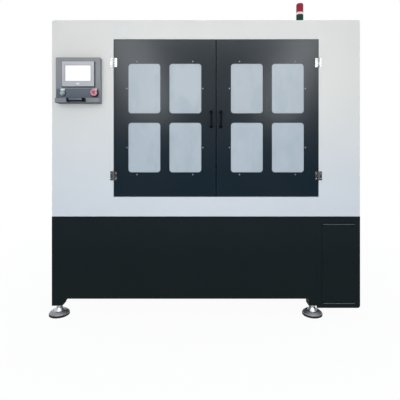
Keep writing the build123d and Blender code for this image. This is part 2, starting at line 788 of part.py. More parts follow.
# Machine bed with ribs below, uprights and cross beam
bed_z = (seam_z, seam_z + bed_h)
bed = block(bed_x, bed_y, bed_z)
pocket_l = (bed_l - 2 * bed_wall - 2 * bed_rib_t) / 3
for i in range(3):
    pocket_x = bed_x[0] + bed_wall + i * (pocket_l + bed_rib_t)
    pocket = block(
        (pocket_x, pocket_x + pocket_l),
        (bed_y[0] + bed_wall, bed_y[1] - bed_wall),
        (bed_z[0], bed_z[1] - bed_wall),
    )
    bed = bed - pocket
parts["machine_bed"] = bed
beam_y = (bed_y[1] - upright_w, bed_y[1])
upright_z = (bed_z[1], bed_z[1] + upright_h)
beam_z = (upright_z[1], upright_z[1] + beam_h)
upright_x = [(bed_x[0], bed_x[0] + upright_w), (bed_x[1] - upright_w, bed_x[1])]
portal = [tube(x, beam_y, upright_z, 2, beam_wall) for x in upright_x]
portal.append(tube(bed_x, beam_y, beam_z, 0, beam_wall))
parts["portal"] = group(portal)


def motor(length):
    """Square servo motor standing on the plane z = 0, with a round cap at its end."""
    can = block(span(0, motor_s), span(0, motor_s), (0, length - motor_cap_l))
    can = chamfer(can.edges().filter_by(Axis.Z), motor_edge)
    return can + rod_z(0, 0, (length - motor_cap_l, length), motor_cap_r)


# Cross travel: rails, screw bearings, screw and motor on the beam, saddle with its carriages and nut
beam_mid_z = (beam_z[0] + beam_z[1]) / 2
x_rail_z = [beam_mid_z - x_rail_pitch / 2, beam_mid_z + x_rail_pitch / 2]
x_rail_x = (bed_x[0] + rail_end, bed_x[1] - rail_end)
x_rail_y = (beam_y[0] - rail_t, beam_y[0])
parts["x_rails"] = group([block(x_rail_x, x_rail_y, span(z, rail_w)) for z in x_rail_z])
saddle_back = beam_y[0] - carriage_h
saddle_y = (saddle_back - saddle_t, saddle_back)
saddle_x = span(bed_cx, saddle_w)
saddle_z = (beam_z[0] - saddle_low, beam_z[0] - saddle_low + saddle_h)
x_carriages = []
for z in x_rail_z:
    room_z = span(z, rail_w + 2 * carriage_clear)
    room = block(saddle_x, (x_rail_y[0] - carriage_clear, beam_y[0]), room_z)
    for x in span(bed_cx, saddle_carriage_pitch):
        carriage_y = (saddle_back, beam_y[0] - carriage_lift)
        x_carriages.append(block(span(x, carriage_l), carriage_y, span(z, carriage_w)) - room)
parts["x_carriages"] = group(x_carriages)

screw_end = coupling_l + 2 * coupling_gap
x_screw_y = beam_y[0] - carriage_h / 2
x_bearing_y = (beam_y[0] - carriage_h + nut_room, beam_y[0])
x_bearing_x = [bed_x[0] + screw_end, bed_x[1] - screw_end - bearing_l]
x_plate_x = (bed_x[1], bed_x[1] + motor_plate_t)
bearing_hole = rod_x(bed_x, x_screw_y, beam_mid_z, screw_shaft_r + shaft_clear)
x_bearings = []
for x in x_bearing_x:
    x_bearings.append(block((x, x + bearing_l), x_bearing_y, span(beam_mid_z, bearing_s)) - bearing_hole)
parts["x_screw_bearings"] = group(x_bearings)
x_shaft_x = (x_bearing_x[0], x_plate_x[1] - coupling_gap)
x_coupling_x = span(bed_x[1] - screw_end / 2, coupling_l)
x_shaft = rod_x(x_shaft_x, x_screw_y, beam_mid_z, screw_shaft_r)
parts["x_screw"] = x_shaft + rod_x(x_coupling_x, x_screw_y, beam_mid_z, coupling_r)
x_plate_y = (x_screw_y - motor_plate_s / 2, beam_y[0] + motor_plate_s / 2)
x_plate = block(x_plate_x, x_plate_y, span(beam_mid_z, motor_plate_s))
x_plate = x_plate - rod_x(x_plate_x, x_screw_y, beam_mid_z, screw_shaft_r + shaft_hole_clear)
x_motor = Pos(x_plate_x[1], x_screw_y, beam_mid_z) * Rot(0, 90, 0) * motor(motor_l)
parts["x_motor"] = group([x_plate, x_motor])

x_nut_y = (saddle_back, beam_y[0] - nut_room)
x_nut = block(span(bed_cx, nut_l), x_nut_y, span(beam_mid_z, nut_s)) - bearing_hole
saddle = block(saddle_x, saddle_y, saddle_z)
parts["saddle"] = group([saddle, x_nut])

# Down feed: rails, bearings, screw and motor on the saddle, head plate with its carriages and nut
z_rail_y = (saddle_y[0] - rail_t, saddle_y[0])
z_rail_z = (saddle_z[0] + z_rail_end, saddle_z[1] - z_rail_end)
z_rail_x = span(bed_cx, z_rail_pitch)
parts["z_rails"] = group([block(span(x, rail_w), z_rail_y, z_rail_z) for x in z_rail_x])
head_back = saddle_y[0] - carriage_h
head_y = (head_back - head_t, head_back)
head_cz = z_rail_z[1] - head_margin - (head_carriage_pitch + carriage_l) / 2
head_z = span(head_cz, head_h)
z_carriages = []
for x in z_rail_x:
    room_x = span(x, rail_w + 2 * carriage_clear)
    room = block(room_x, (z_rail_y[0] - carriage_clear, saddle_y[0]), z_rail_z)
    for z in span(head_cz, head_carriage_pitch):
        carriage_y = (head_back, saddle_y[0] - carriage_lift)
        z_carriages.append(block(span(x, carriage_w), carriage_y, span(z, carriage_l)) - room)
parts["z_carriages"] = group(z_carriages)

z_screw_y = saddle_y[0] - carriage_h / 2
z_bearing_y = (saddle_y[0] - carriage_h + nut_room, saddle_y[0])
z_bearing_z = [saddle_z[0], saddle_z[1] - screw_end - bearing_l]
z_plate_z = (saddle_z[1], saddle_z[1] + motor_plate_t)
z_hole = rod_z(bed_cx, z_screw_y, saddle_z, screw_shaft_r + shaft_clear)
z_bearings = []
for z in z_bearing_z:
    z_bearings.append(block(span(bed_cx, bearing_s), z_bearing_y, (z, z + bearing_l)) - z_hole)
parts["z_screw_bearings"] = group(z_bearings)
z_shaft = rod_z(bed_cx, z_screw_y, (saddle_z[0], z_plate_z[1] - coupling_gap), screw_shaft_r)
z_coupling_z = span(saddle_z[1] - screw_end / 2, coupling_l)
parts["z_screw"] = z_shaft + rod_z(bed_cx, z_screw_y, z_coupling_z, coupling_r)
z_plate = block(span(bed_cx, motor_plate_s), (z_screw_y - motor_plate_s / 2, saddle_y[1]), z_plate_z)
z_plate = z_plate - rod_z(bed_cx, z_screw_y, z_plate_z, screw_shaft_r + shaft_hole_clear)
parts["z_motor"] = group([z_plate, Pos(bed_cx, z_screw_y, z_plate_z[1]) * motor(motor_l)])
z_nut_y = (head_back, saddle_y[0] - nut_room)
z_nut = block(span(bed_cx, nut_s), z_nut_y, span(head_cz, nut_l)) - z_hole
head = block(span(bed_cx, head_w), head_y, head_z)
parts["head_plate"] = group([head, z_nut])

# Spindle: housing on the head plate, motor above, spindle with its collet nut and drill
spindle_y = head_y[0] - spindle_offset
housing_z = (head_cz - housing_low, head_cz - housing_low + housing_l)
web_z = (max(head_z[0], housing_z[0]), min(head_z[1], housing_z[1]))
spindle_housing = rod_z(bed_cx, spindle_y, housing_z, housing_r)
spindle_housing = spindle_housing + block(span(bed_cx, housing_web_w), (spindle_y, head_y[0]), web_z)
bore_z = (housing_z[0], housing_z[1] - bore_cap)
parts["spindle_housing"] = spindle_housing - rod_z(bed_cx, spindle_y, bore_z, spindle_r + shaft_clear)
motor_z = (housing_z[1], housing_z[1] + spindle_motor_l)
spindle_motor = rod_z(bed_cx, spindle_y, motor_z, spindle_motor_r)
parts["spindle_motor"] = fillet(spindle_motor.edges().group_by(Axis.Z)[-1], motor_edge)
collet_z = (housing_z[0] - collet_gap - collet_l, housing_z[0] - collet_gap)
collet = rod_z(bed_cx, spindle_y, collet_z, collet_r)
collet = chamfer(collet.edges().group_by(Axis.Z)[0], motor_edge)
spindle_shaft = rod_z(bed_cx, spindle_y, (collet_z[1], bore_z[1] - collet_gap), spindle_r)
drill_z = (collet_z[0] - drill_l, collet_z[0] + drill_grip)
collet = collet - rod_z(bed_cx, spindle_y, (collet_z[0], drill_z[1]), drill_r + shaft_clear)
drill_body = rod_z(bed_cx, spindle_y, (drill_z[0] + drill_tip, drill_z[1]), drill_r)
tip = Pos(bed_cx, spindle_y, drill_z[0] + drill_tip / 2) * Rot(180, 0, 0) * Cone(drill_r, 0, drill_tip)
parts["spindle"] = group([spindle_shaft + collet, drill_body + tip])

# Holding fixture: plate with the bar rest, fence, and a row of air cylinders with their clamp rods
fixture_z = (bed_z[1], bed_z[1] + fixture_t)
fence_y = (spindle_y + fence_gap, spindle_y + fence_gap + fence_t)
pad_y = (spindle_y - clamp_gap - clamp_pad_t, spindle_y - clamp_gap)
cylinder_y = (pad_y[0] - clamp_stand - clamp_body_l, pad_y[0] - clamp_stand)
fixture_x = span(bed_cx, fixture_l)
fixture = block(fixture_x, (cylinder_y[0] - fixture_margin, fence_y[1] + fixture_margin), fixture_z)
bar_rest_z = (fixture_z[1], fixture_z[1] + bar_rest_h)
fixture = fixture + block(fixture_x, span(spindle_y, bar_rest_w), bar_rest_z)
fence = block(fixture_x, fence_y, (fixture_z[1], fixture_z[1] + fence_h))
parts["fixture"] = group([fixture, fence])
clamp_z = fixture_z[1] + clamp_body / 2
cylinders = []
clamp_rods = []
for i in range(clamp_count):
    clamp_x = bed_cx + (i - (clamp_count - 1) / 2) * clamp_pitch
    rod_y_span = (cylinder_y[1] - clamp_rod_in, pad_y[0])
    cylinder = block(span(clamp_x, clamp_body), cylinder_y, (fixture_z[1], fixture_z[1] + clamp_body))
    cylinders.append(cylinder - rod_y(clamp_x, rod_y_span, clamp_z, clamp_rod_r + shaft_clear))
    clamp_rod = rod_y(clamp_x, rod_y_span, clamp_z, clamp_rod_r)
    clamp_rods.append(clamp_rod + rod_y(clamp_x, pad_y, clamp_z, clamp_pad_r))
parts["clamp_cylinders"] = group(cylinders)
parts["clamp_rods"] = group(clamp_rods)

# Chip tray on the lower bearers
tray_y = span((inner_y[0] + inner_y[1]) / 2, tray_d)
tray_z = (rail_low_z[1], rail_low_z[1] + tray_h)
tray_inside = block(
    (tray_x[0] + tray_wall, tray_x[1] - tray_wall),
    (tray_y[0] + tray_wall, tray_y[1] - tray_wall),
    (tray_z[0] + tray_wall, tray_z[1]),
)
parts["chip_tray"] = block(tray_x, tray_y, tray_z) - tray_inside

os.makedirs("parts", exist_ok=True)
for node, shape in parts.items():
    export_step(shape, "parts/" + node + ".step")
print(len(parts), "nodes")
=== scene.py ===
"""Looks of an enclosed drilling machine: finishes of the CAD nodes, finer pieces, studio and camera."""

import logging
import math
from dataclasses import dataclass, field
from enum import Enum
from itertools import product
from typing import Any, Iterable, Sequence

import bmesh
import bpy
from mathutils import Matrix, Quaternion, Vector


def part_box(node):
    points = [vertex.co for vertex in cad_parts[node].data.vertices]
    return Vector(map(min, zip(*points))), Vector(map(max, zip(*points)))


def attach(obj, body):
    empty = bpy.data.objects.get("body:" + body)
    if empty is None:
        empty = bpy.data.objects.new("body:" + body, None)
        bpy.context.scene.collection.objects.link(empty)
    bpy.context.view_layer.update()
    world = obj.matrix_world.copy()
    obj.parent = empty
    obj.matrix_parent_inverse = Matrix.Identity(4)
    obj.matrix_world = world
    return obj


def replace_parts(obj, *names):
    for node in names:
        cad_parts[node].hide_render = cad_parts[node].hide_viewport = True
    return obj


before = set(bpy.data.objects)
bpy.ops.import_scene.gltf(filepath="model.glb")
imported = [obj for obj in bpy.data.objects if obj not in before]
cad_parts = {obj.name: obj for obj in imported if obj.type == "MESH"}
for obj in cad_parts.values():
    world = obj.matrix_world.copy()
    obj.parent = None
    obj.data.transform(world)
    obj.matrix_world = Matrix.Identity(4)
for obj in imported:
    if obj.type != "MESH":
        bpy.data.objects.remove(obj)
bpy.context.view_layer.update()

LOG = logging.getLogger("drilling_machine")
Colour = tuple[float, float, float]
Point = Sequence[float]
Outline = tuple[tuple[float, float], ...]

# Depth to which a laid-on piece is let in, and distance within which points are one, in metres
SEAT = 0.0005
MERGE = 4e-6
# Angle over which an edge of a piece stays sharp
SHARP = math.radians(35.0)


def laid_along(way: Vector) -> Matrix:
    """Rotation that lays +Z along a direction."""
    return way.to_track_quat("Z", "Y").to_matrix().to_4x4()


def scaled(colour: Colour, share: float) -> Colour:
    """A colour made darker or lighter, up to full strength."""
    return tuple(min(1.0, share * part) for part in colour)


class Axis(Enum):
    """A direction of the shared frame."""

    X = (1.0, 0.0, 0.0)
    Y = (0.0, 1.0, 0.0)
    Z = (0.0, 0.0, 1.0)

    @property
    def index(self) -> int:
        """Number of this direction in a vector."""
        return self.value.index(1.0)

    @property
    def turn(self) -> Matrix:
        """Rotation that lays +Z along this direction."""
        return laid_along(Vector(self.value))


class Side(Enum):
    """The left or the right side, as its sign along X."""

    LEFT = -1
    RIGHT = 1

    @property
    def word(self) -> str:
        """This side's word in the names of nodes and pieces."""
        return self.name.lower()


@dataclass(frozen=True)
class Room:
    """The box round a CAD node, in metres."""

    lo: Vector
    hi: Vector

    @classmethod
    def of(cls, node: str) -> "Room":
        """Box of a named CAD node."""
        return cls(*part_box(node))

    @property
    def mid(self) -> Vector:
        """Middle of the box."""
        return (self.lo + self.hi) / 2

    @property
    def size(self) -> Vector:
        """Lengths of the box's sides."""
        return self.hi - self.lo

    @property
    def radius(self) -> float:
        """Half the box's width, the radius of a round node."""
        return self.size.x / 2

    @property
    def front(self) -> Vector:
        """Middle of the box's front face."""
        return Vector((self.mid.x, self.lo.y, self.mid.z))

    @property
    def foot(self) -> Vector:
        """Middle of the box's lowest face."""
        return Vector((self.mid.x, self.mid.y, self.lo.z))

    def ends(self, axis: Axis, inset: float = 0.0) -> tuple[float, float]:
        """Places of the two faces across an axis, each brought in by an inset."""
        return self.lo[axis.index] + inset, self.hi[axis.index] - inset

    def row(self, axis: Axis, inset: float, pitch: float) -> list[float]:
        """Even places along an axis, from near one face to near the other.

        Args:
            axis: The axis of the row.
            inset: Distance of the first and the last place from their faces.
            pitch: Wanted distance between places.

        Returns:
            The places, both ends among them.
        """
        start, end = self.ends(axis, inset)
        count = max(1, round((end - start) / pitch))
        return [start + (end - start) * i / count for i in range(count + 1)]

    def outer(self, side: Side) -> float:
        """Place along X of the face on a side."""
        return self.lo.x if side is Side.LEFT else self.hi.x

    def inner(self, side: Side) -> float:
        """Place along X of the face away from a side."""
        return self.hi.x if side is Side.LEFT else self.lo.x


class Shade:
    """A socket of a material's node tree that takes part in arithmetic."""

    def __init__(self, graph: "Graph", socket: bpy.types.NodeSocket) -> None:
        """Wraps one output socket.

        Args:
            graph: The tree that the socket is in.
            socket: The output socket.
        """
        self.graph = graph
        self.socket = socket

    def _math(self, operation: str, first: Any, second: Any = 0.0) -> "Shade":
        """Adds a Math node."""
        return self.graph.add("ShaderNodeMath", {"operation": operation}, {0: first, 1: second})

    def __add__(self, other: Any) -> "Shade":
        """Sum."""
        return self._math("ADD", self, other)

    def __radd__(self, other: Any) -> "Shade":
        """Sum, from the right."""
        return self._math("ADD", other, self)

    def __sub__(self, other: Any) -> "Shade":
        """Difference."""
        return self._math("SUBTRACT", self, other)

    def __rsub__(self, other: Any) -> "Shade":
        """Difference, from the right."""
        return self._math("SUBTRACT", other, self)

    def __mul__(self, other: Any) -> "Shade":
        """Product."""
        return self._math("MULTIPLY", self, other)

    def __rmul__(self, other: Any) -> "Shade":
        """Product, from the right."""
        return self._math("MULTIPLY", other, self)

    def sine(self) -> "Shade":
        """Sine of the value."""
        return self._math("SINE", self)

    def rise(self, low: float, high: float) -> "Shade":
        """Smooth step from 0 at one value to 1 at another.

        Args:
            low: Value at which the step starts.
            high: Value at which it ends.

        Returns:
            The step, from 0 to 1.
        """
        inputs = {"Value": self, "From Min": low, "From Max": high}
        return self.graph.add("ShaderNodeMapRange", {"interpolation_type": "SMOOTHSTEP"}, inputs)


class Graph:
    """The node tree of one material or of the world."""

    def __init__(self, tree: bpy.types.NodeTree) -> None:
        """Clears a tree, ready for new nodes.

        Args:
            tree: The node tree to fill.
        """
        self.tree = tree
        self.tree.nodes.clear()
        self.coords = self.add("ShaderNodeTexCoord", out="Object")

    def add(
        self, kind: str, settings: dict | None = None, inputs: dict | None = None, out: str | int = 0,
    ) -> Shade:
        """Adds a node.

        Args:
            kind: The node's type.
            settings: Its properties.
            inputs: Values or links of its sockets, by name or number.
            out: Name or number of the output to hand back.

        Returns:
            The output socket.
        """
        node = self.tree.nodes.new(kind)
        for key, value in (settings or {}).items():
            setattr(node, key, value)
        for key, value in (inputs or {}).items():
            if isinstance(value, Shade):
                self.tree.links.new(value.socket, node.inputs[key])
            elif isinstance(value, tuple) and node.inputs[key].type == "RGBA":
                node.inputs[key].default_value = (*value, 1.0)
            else:
                node.inputs[key].default_value = value
        return Shade(self, node.outputs[out] if node.outputs else None)

    def part(self, vector: Shade, axis: Axis) -> Shade:
        """Part of a vector along one axis."""
        return self.add("ShaderNodeSeparateXYZ", inputs={0: vector}, out=axis.name)

    def along(self, axis: Axis) -> Shade:
        """Object coordinate along one axis."""
        return self.part(self.coords, axis)

    def length(self, vector: Shade) -> Shade:
        """Length of a vector."""
        return self.add("ShaderNodeVectorMath", {"operation": "LENGTH"}, {0: vector}, out="Value")

    def facing(self) -> Shade:
        """Direction in which the surface looks."""
        return self.add("ShaderNodeNewGeometry", out="Normal")

    def ray(self, kind: str) -> Shade:
        """Mask of one kind of ray, such as Camera or Glossy."""
        return self.add("ShaderNodeLightPath", out=f"Is {kind} Ray")

    def stretched(self, scale: Point, place: Point = (0.0, 0.0, 0.0)) -> Shade:
        """Object coordinates scaled along each axis, then moved by a place."""
        return self.add("ShaderNodeMapping", inputs={0: self.coords, "Location": place, "Scale": scale})

    def noise(self, scale: float, detail: float = 3.0, stretch: Point = (1.0, 1.0, 1.0)) -> Shade:
        """Soft noise from 0 to 1.

        Args:
            scale: Waves in a metre.
            detail: Finer layers on top of the first.
            stretch: Scale along each axis.

        Returns:
            The noise value.
        """
        inputs = {"Vector": self.stretched(stretch), "Scale": scale, "Detail": detail}
        return self.add("ShaderNodeTexNoise", inputs=inputs)

    def mix(self, share: Any, first: Any, second: Any) -> Shade:
        """Colour between two colours.

        Args:
            share: How much of the second colour shows.
            first: Colour or link at 0.
            second: Colour or link at 1.

        Returns:
            The mixed colour.
        """
        return self.add("ShaderNodeMix", {"data_type": "RGBA"}, {0: share, 6: first, 7: second}, out=2)

    def edges(self, width: float) -> Shade:
        """Mask that is 1 along edges of the mesh.

        Args:
            width: How far the mask reaches from an edge, in metres.

        Returns:
            The mask.
        """
        rounded = self.add("ShaderNodeBevel", {"samples": 4}, {"Radius": width})
        inputs = {0: rounded, 1: self.facing()}
        meets = self.add("ShaderNodeVectorMath", {"operation": "DOT_PRODUCT"}, inputs, out="Value")
        return (1 - meets).rise(0.02, 0.25)

    def bump(self, height: Shade, depth: float) -> Shade:
        """Normal of a surface with small hills.

        Args:
            height: Height from 0 to 1.
            depth: Height of the hills, in metres.

        Returns:
            The bumped normal.
        """
        return self.add("ShaderNodeBump", inputs={"Strength": 1.0, "Distance": depth, "Height": height})

    def surface(self, inputs: dict) -> None:
        """Ends the tree in a Principled shader with these socket values and links."""
        shader = self.add("ShaderNodeBsdfPrincipled", inputs=inputs)
        self.add("ShaderNodeOutputMaterial", inputs={"Surface": shader})


@dataclass(frozen=True)
class Finish:
    """A surface finish for one of the record's material slots; a variant is a second finish in that slot."""

    slot: str
    variant: str = field(default="", kw_only=True)

    def fill(self, graph: Graph) -> None:
        """Adds the finish's nodes to a tree."""
        raise NotImplementedError

    def material(self) -> bpy.types.Material:
        """The finish's material, made at its first use.

        Returns:
            The material.
        """
        name = "finish_" + self.slot + self.variant
        found = bpy.data.materials.get(name)
        if found is None:
            found = bpy.data.materials.new(name)
            found.use_nodes = True
            self.fill(Graph(found.node_tree))
        return found

    def dress(self, *nodes: str) -> None:
        """Gives CAD nodes this finish.

        Args:
            nodes: Names of the nodes.
        """
        for node in nodes:
            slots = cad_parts[node].data.materials
            slots.clear()
            slots.append(self.material())
            LOG.info("%s is finished in %s", node, self.slot)


@dataclass(frozen=True)
class PowderCoat(Finish):
    """Baked paint on sheet metal: orange peel, faint mottle, and edges paled by wear and a painted highlight.

    Its tone drifts from one colour to another over a span of heights, and faces that look down can take
    painted shade.
    """

    colour: Colour
    drift: Colour
    span: tuple[float, float]
    bare: Colour
    roughness: float = 0.4
    specular: float = 0.4
    mottle: float = 0.25
    wear_and_lit_edges: float = 0.35
    peel: float = 0.00006
    edge: float = 0.0025
    # Share of painted shade on faces that look down
    under: float = 0.0

    def fill(self, graph: Graph) -> None:
        """Adds the paint's nodes.

        Args:
            graph: The tree to fill.
        """
        cloud = graph.noise(3.2, detail=5.0)
        scuffs = graph.noise(46.0, detail=4.0).rise(0.5, 0.72)
        peel = graph.noise(420.0, detail=2.0)
        # On the white panels, doors, base panels and console this drift with height is painted light
        tone = graph.mix(graph.along(Axis.Z).rise(*self.span), self.colour, self.drift)
        tone = graph.mix(cloud.rise(0.35, 0.75) * self.mottle, tone, scaled(self.colour, 0.86))
        # Painted shade: faces that look down go towards a dark copy of the colour
        if self.under:
            down = (0 - graph.part(graph.facing(), Axis.Z)).rise(0.2, 0.7)
            tone = graph.mix(down * self.under, tone, scaled(self.colour, 0.1))
        # Paler edges: worn paint, with a painted highlight along the edges
        worn_and_lit = graph.edges(self.edge) * (0.35 + 0.65 * scuffs) * self.wear_and_lit_edges
        graph.surface({
            "Base Color": graph.mix(worn_and_lit, tone, self.bare),
            "Roughness": self.roughness + 0.12 * (cloud - 0.5) + 0.06 * (peel - 0.5),
            "Specular IOR Level": self.specular,
            "Normal": graph.bump(peel, self.peel),
        })


@dataclass(frozen=True)
class FrostedPane(Finish):
    """Frosted acrylic sheet: milky body, cloudy haze, wiped smudges, oily stains and a fine etched grain.

    Its body is cooler below a span of heights.
    """

    colour: Colour
    cool: Colour
    span: tuple[float, float]
    smudge: Colour
    stain: Colour

    def fill(self, graph: Graph) -> None:
        """Adds the sheet's nodes.

        Args:
            graph: The tree to fill.
        """
        haze = graph.noise(2.3, detail=4.0, stretch=(1.0, 1.0, 0.6)).rise(0.3, 0.75)
        wiped = graph.noise(9.0, detail=5.0, stretch=(1.0, 1.0, 0.35)).rise(0.48, 0.8)
        oily = graph.noise(6.5, detail=4.0, stretch=(1.4, 1.0, 0.8)).rise(0.46, 0.66)
        grain = graph.noise(900.0, detail=1.0)
        tone = graph.mix(graph.along(Axis.Z).rise(*self.span), self.cool, self.colour)
        tone = graph.mix(haze * 0.55, tone, self.smudge)
        tone = graph.mix(oily * 0.6, tone, self.stain)
        graph.surface({
            "Base Color": graph.mix(wiped * 0.6, tone, self.smudge),
            "Roughness": 0.38 + 0.16 * wiped - 0.06 * oily + 0.05 * grain,
            "Specular IOR Level": 0.35,
            "Normal": graph.bump(grain, 0.00003),
        })


class Lay(Enum):
    """The direction of the marks that a tool leaves on metal, as a scale along each axis."""

    NONE = (1.0, 1.0, 1.0)
    ALONG_X = (0.04, 1.0, 1.0)
    ALONG_Z = (1.0, 1.0, 0.04)
    ROUND_Z = (0.2, 0.2, 3.0)


@dataclass(frozen=True)
class Metal(Finish):
    """Bare metal: tool marks in one direction, cloudy tarnish and brighter edges."""

    colour: Colour
    tarnish: Colour
    roughness: float
    lay: Lay = Lay.NONE
    marks: float = 260.0
    depth: float = 0.00003

    def dull(self, graph: Graph) -> Any:
        """Roughness, or a link for it, before marks and tarnish."""
        return self.roughness

    def tone(self, graph: Graph, clean: Shade) -> Shade:
        """Colour of the metal, made from its colour where nothing soils it."""
        return clean

    def fill(self, graph: Graph) -> None:
        """Adds the metal's nodes.

        Args:
            graph: The tree to fill.
        """
        lines = graph.noise(self.marks, stretch=self.lay.value)
        cloud = graph.noise(14.0, detail=5.0).rise(0.35, 0.8)
        bright = graph.edges(0.0015) * 0.5
        tone = self.tone(graph, graph.mix(cloud * 0.6, self.colour, self.tarnish))
        graph.surface({
            "Base Color": graph.mix(bright, tone, scaled(self.colour, 1.2)),
            "Metallic": 1.0,
            "Roughness": self.dull(graph) + 0.18 * (lines - 0.5) + 0.12 * cloud,
            "Normal": graph.bump(lines, self.depth),
        })


@dataclass(frozen=True)
class FootMetal(Metal):
    """Metal of the feet, smooth on the cone, and dull and darkened by painted shade on the flange below it.
    """

    flange_dull: float = 0.55
    # Share of the colour left on the flange under painted shade
    flange_shade: float = 0.47
    flange_top: float = 0.0268
    cone_low: float = 0.0300

    def _up(self, graph: Graph) -> Shade:
        """Mask that is 0 on the flange and 1 on the cone."""
        return graph.along(Axis.Z).rise(self.flange_top, self.cone_low)

    def dull(self, graph: Graph) -> Any:
        """Roughness that falls from the flange to the cone."""
        return self.flange_dull + (self.roughness - self.flange_dull) * self._up(graph)

    def tone(self, graph: Graph, clean: Shade) -> Shade:
        """Colour that is darker on the flange, with painted shade."""
        return graph.mix(self._up(graph), scaled(self.colour, self.flange_shade), clean)


@dataclass(frozen=True)
class Galvanised(Finish):
    """Zinc-dipped sheet with its crystal spangle."""

    colour: Colour
    dark: Colour

    def fill(self, graph: Graph) -> None:
        """Adds the spangle's nodes.

        Args:
            graph: The tree to fill.
        """
        inputs = {"Vector": graph.coords, "Scale": 55.0}
        cells = graph.add("ShaderNodeTexVoronoi", inputs=inputs, out="Color")
        facet = graph.add("ShaderNodeSeparateColor", inputs={0: cells})
        dirt = graph.noise(7.0, detail=5.0).rise(0.45, 0.8)
        graph.surface({
            "Base Color": graph.mix(0.45 * facet + 0.4 * dirt, self.colour, self.dark),
            "Metallic": 0.9,
            "Roughness": 0.34 + 0.2 * facet + 0.15 * dirt,
            "Normal": graph.bump(facet, 0.00002),
        })


@dataclass(frozen=True)
class CastIron(Finish):
    """Painted casting whose upward faces are ground bright."""

    paint: Colour
    ground: Colour

    def fill(self, graph: Graph) -> None:
        """Adds the casting's nodes.

        Args:
            graph: The tree to fill.
        """
        upward = graph.part(graph.facing(), Axis.Z).rise(0.8, 0.95)
        skin = graph.noise(160.0, detail=4.0)
        scratches = graph.noise(300.0, detail=2.0, stretch=Lay.ALONG_X.value)
        oil = graph.noise(6.0, detail=5.0).rise(0.4, 0.75)
        paint = graph.mix(oil * 0.35, self.paint, scaled(self.paint, 0.6))
        graph.surface({
            "Base Color": graph.mix(upward, paint, self.ground),
            "Metallic": upward,
            "Roughness": 0.55 - upward * (0.25 - 0.15 * scratches) - 0.08 * oil,
            "Normal": graph.bump(skin * (1 - upward) + 0.2 * scratches, 0.0003),
        })


@dataclass(frozen=True)
class Plastic(Finish):
    """Moulded plastic: fine spark-eroded grain, rubbed and paler edges."""

    colour: Colour
    rubbed: Colour
    roughness: float
    specular: float = 0.4

    def tone(self, graph: Graph) -> Any:
        """Colour or link for the plastic where nothing has rubbed it."""
        return self.colour

    def fill(self, graph: Graph) -> None:
        """Adds the plastic's nodes.

        Args:
            graph: The tree to fill.
        """
        grain = graph.noise(650.0, detail=2.0)
        hands = graph.noise(24.0, detail=4.0).rise(0.4, 0.75)
        rub = graph.edges(0.0015) * (0.4 + 0.6 * hands) * 0.5
        graph.surface({
            "Base Color": graph.mix(rub + 0.08 * hands, self.tone(graph), self.rubbed),
            "Roughness": self.roughness - 0.12 * hands + 0.05 * grain,
            "Specular IOR Level": self.specular,
            "Normal": graph.bump(grain, 0.00004),
        })


@dataclass(frozen=True)
class StopCap(Plastic):
    """Plastic of the emergency stop, with painted shade deepening its sunk middle and a painted highlight on
    its rim.
    """

    # Deep red of the middle: painted shade in the dish
    middle: Colour = (0.40, 0.075, 0.12)
    shaded_middle_end: float = 0.4
    lit_rim_start: float = 0.66

    def tone(self, graph: Graph) -> Any:
        """Colour that runs from painted shade in the cap's sunk middle to a paler rim with a painted
        highlight.

        Args:
            graph: The tree to fill.

        Returns:
            The colour.
        """
        cap = Room.of("emergency_stop")
        out = graph.length(graph.stretched((1.0, 0.0, 1.0), (-cap.mid.x, 0.0, -cap.mid.z)))
        share = out.rise(self.shaded_middle_end * cap.radius, self.lit_rim_start * cap.radius)
        return graph.mix(share, self.middle, self.colour)


@dataclass(frozen=True)
class Rubber(Finish):
    """Black rubber with a dusty bloom."""

    colour: Colour
    bloom: Colour

    def fill(self, graph: Graph) -> None:
        """Adds the rubber's nodes.

        Args:
            graph: The tree to fill.
        """
        dust = graph.noise(38.0, detail=5.0).rise(0.42, 0.8)
        specks = graph.noise(800.0, detail=2.0)
        graph.surface({
            "Base Color": graph.mix(0.5 * dust, self.colour, self.bloom),
            "Roughness": 0.72 + 0.15 * dust,
            "Specular IOR Level": 0.25,
            "Normal": graph.bump(specks, 0.0001),
        })


@dataclass(frozen=True)
class RibbedLens(Finish):
    """Coloured lens with upright ribs round the tower's axis and a clear gloss."""

    colour: Colour
    deep: Colour
    ribs: int = 36

    def fill(self, graph: Graph) -> None:
        """Adds the lens's nodes.

        Args:
            graph: The tree to fill.
        """
        tower = Room.of("tower_base").mid
        centred = graph.stretched((1.0, 1.0, 1.0), (-tower.x, -tower.y, 0.0))
        angle = graph.add("ShaderNodeTexGradient", {"gradient_type": "RADIAL"}, {"Vector": centred}, out=1)
        rib = 0.5 + 0.5 * (angle * (2 * math.pi * self.ribs)).sine()
        swirl = graph.noise(60.0, detail=2.0)
        graph.surface({
            "Base Color": graph.mix(0.5 * rib + 0.3 * swirl, self.colour, self.deep),
            "Roughness": 0.3 + 0.1 * swirl,
            "Specular IOR Level": 0.1,
            "Coat Weight": 0.07,
            "Coat Roughness": 0.1,
            "Subsurface Weight": 0.15,
            "Subsurface Radius": (0.004, 0.003, 0.003),
            "Normal": graph.bump(rib, 0.0004),
        })


@dataclass(frozen=True)
class LitScreen(Finish):
    """Lit touch screen: even white light, a little dimmer towards its sides, under clear glass."""

    glow: Colour
    rim: Colour
    glass: Colour
    dusty: Colour

    def fill(self, graph: Graph) -> None:
        """Adds the screen's nodes.

        Args:
            graph: The tree to fill.
        """
        screen = Room.of("touch_screen")
        out = (graph.along(Axis.X) - screen.mid.x) * (1 / screen.radius)
        aside = (out * out).rise(0.75, 1.05)
        dust = graph.noise(120.0).rise(0.55, 0.8)
        graph.surface({
            "Base Color": graph.mix(0.2 * dust, self.glass, self.dusty),
            "Emission Color": graph.mix(0.5 * aside + 0.06 * dust, self.glow, self.rim),
            "Emission Strength": 0.42,
            "Roughness": 0.18 + 0.2 * dust,
            "Specular IOR Level": 0.3,
        })
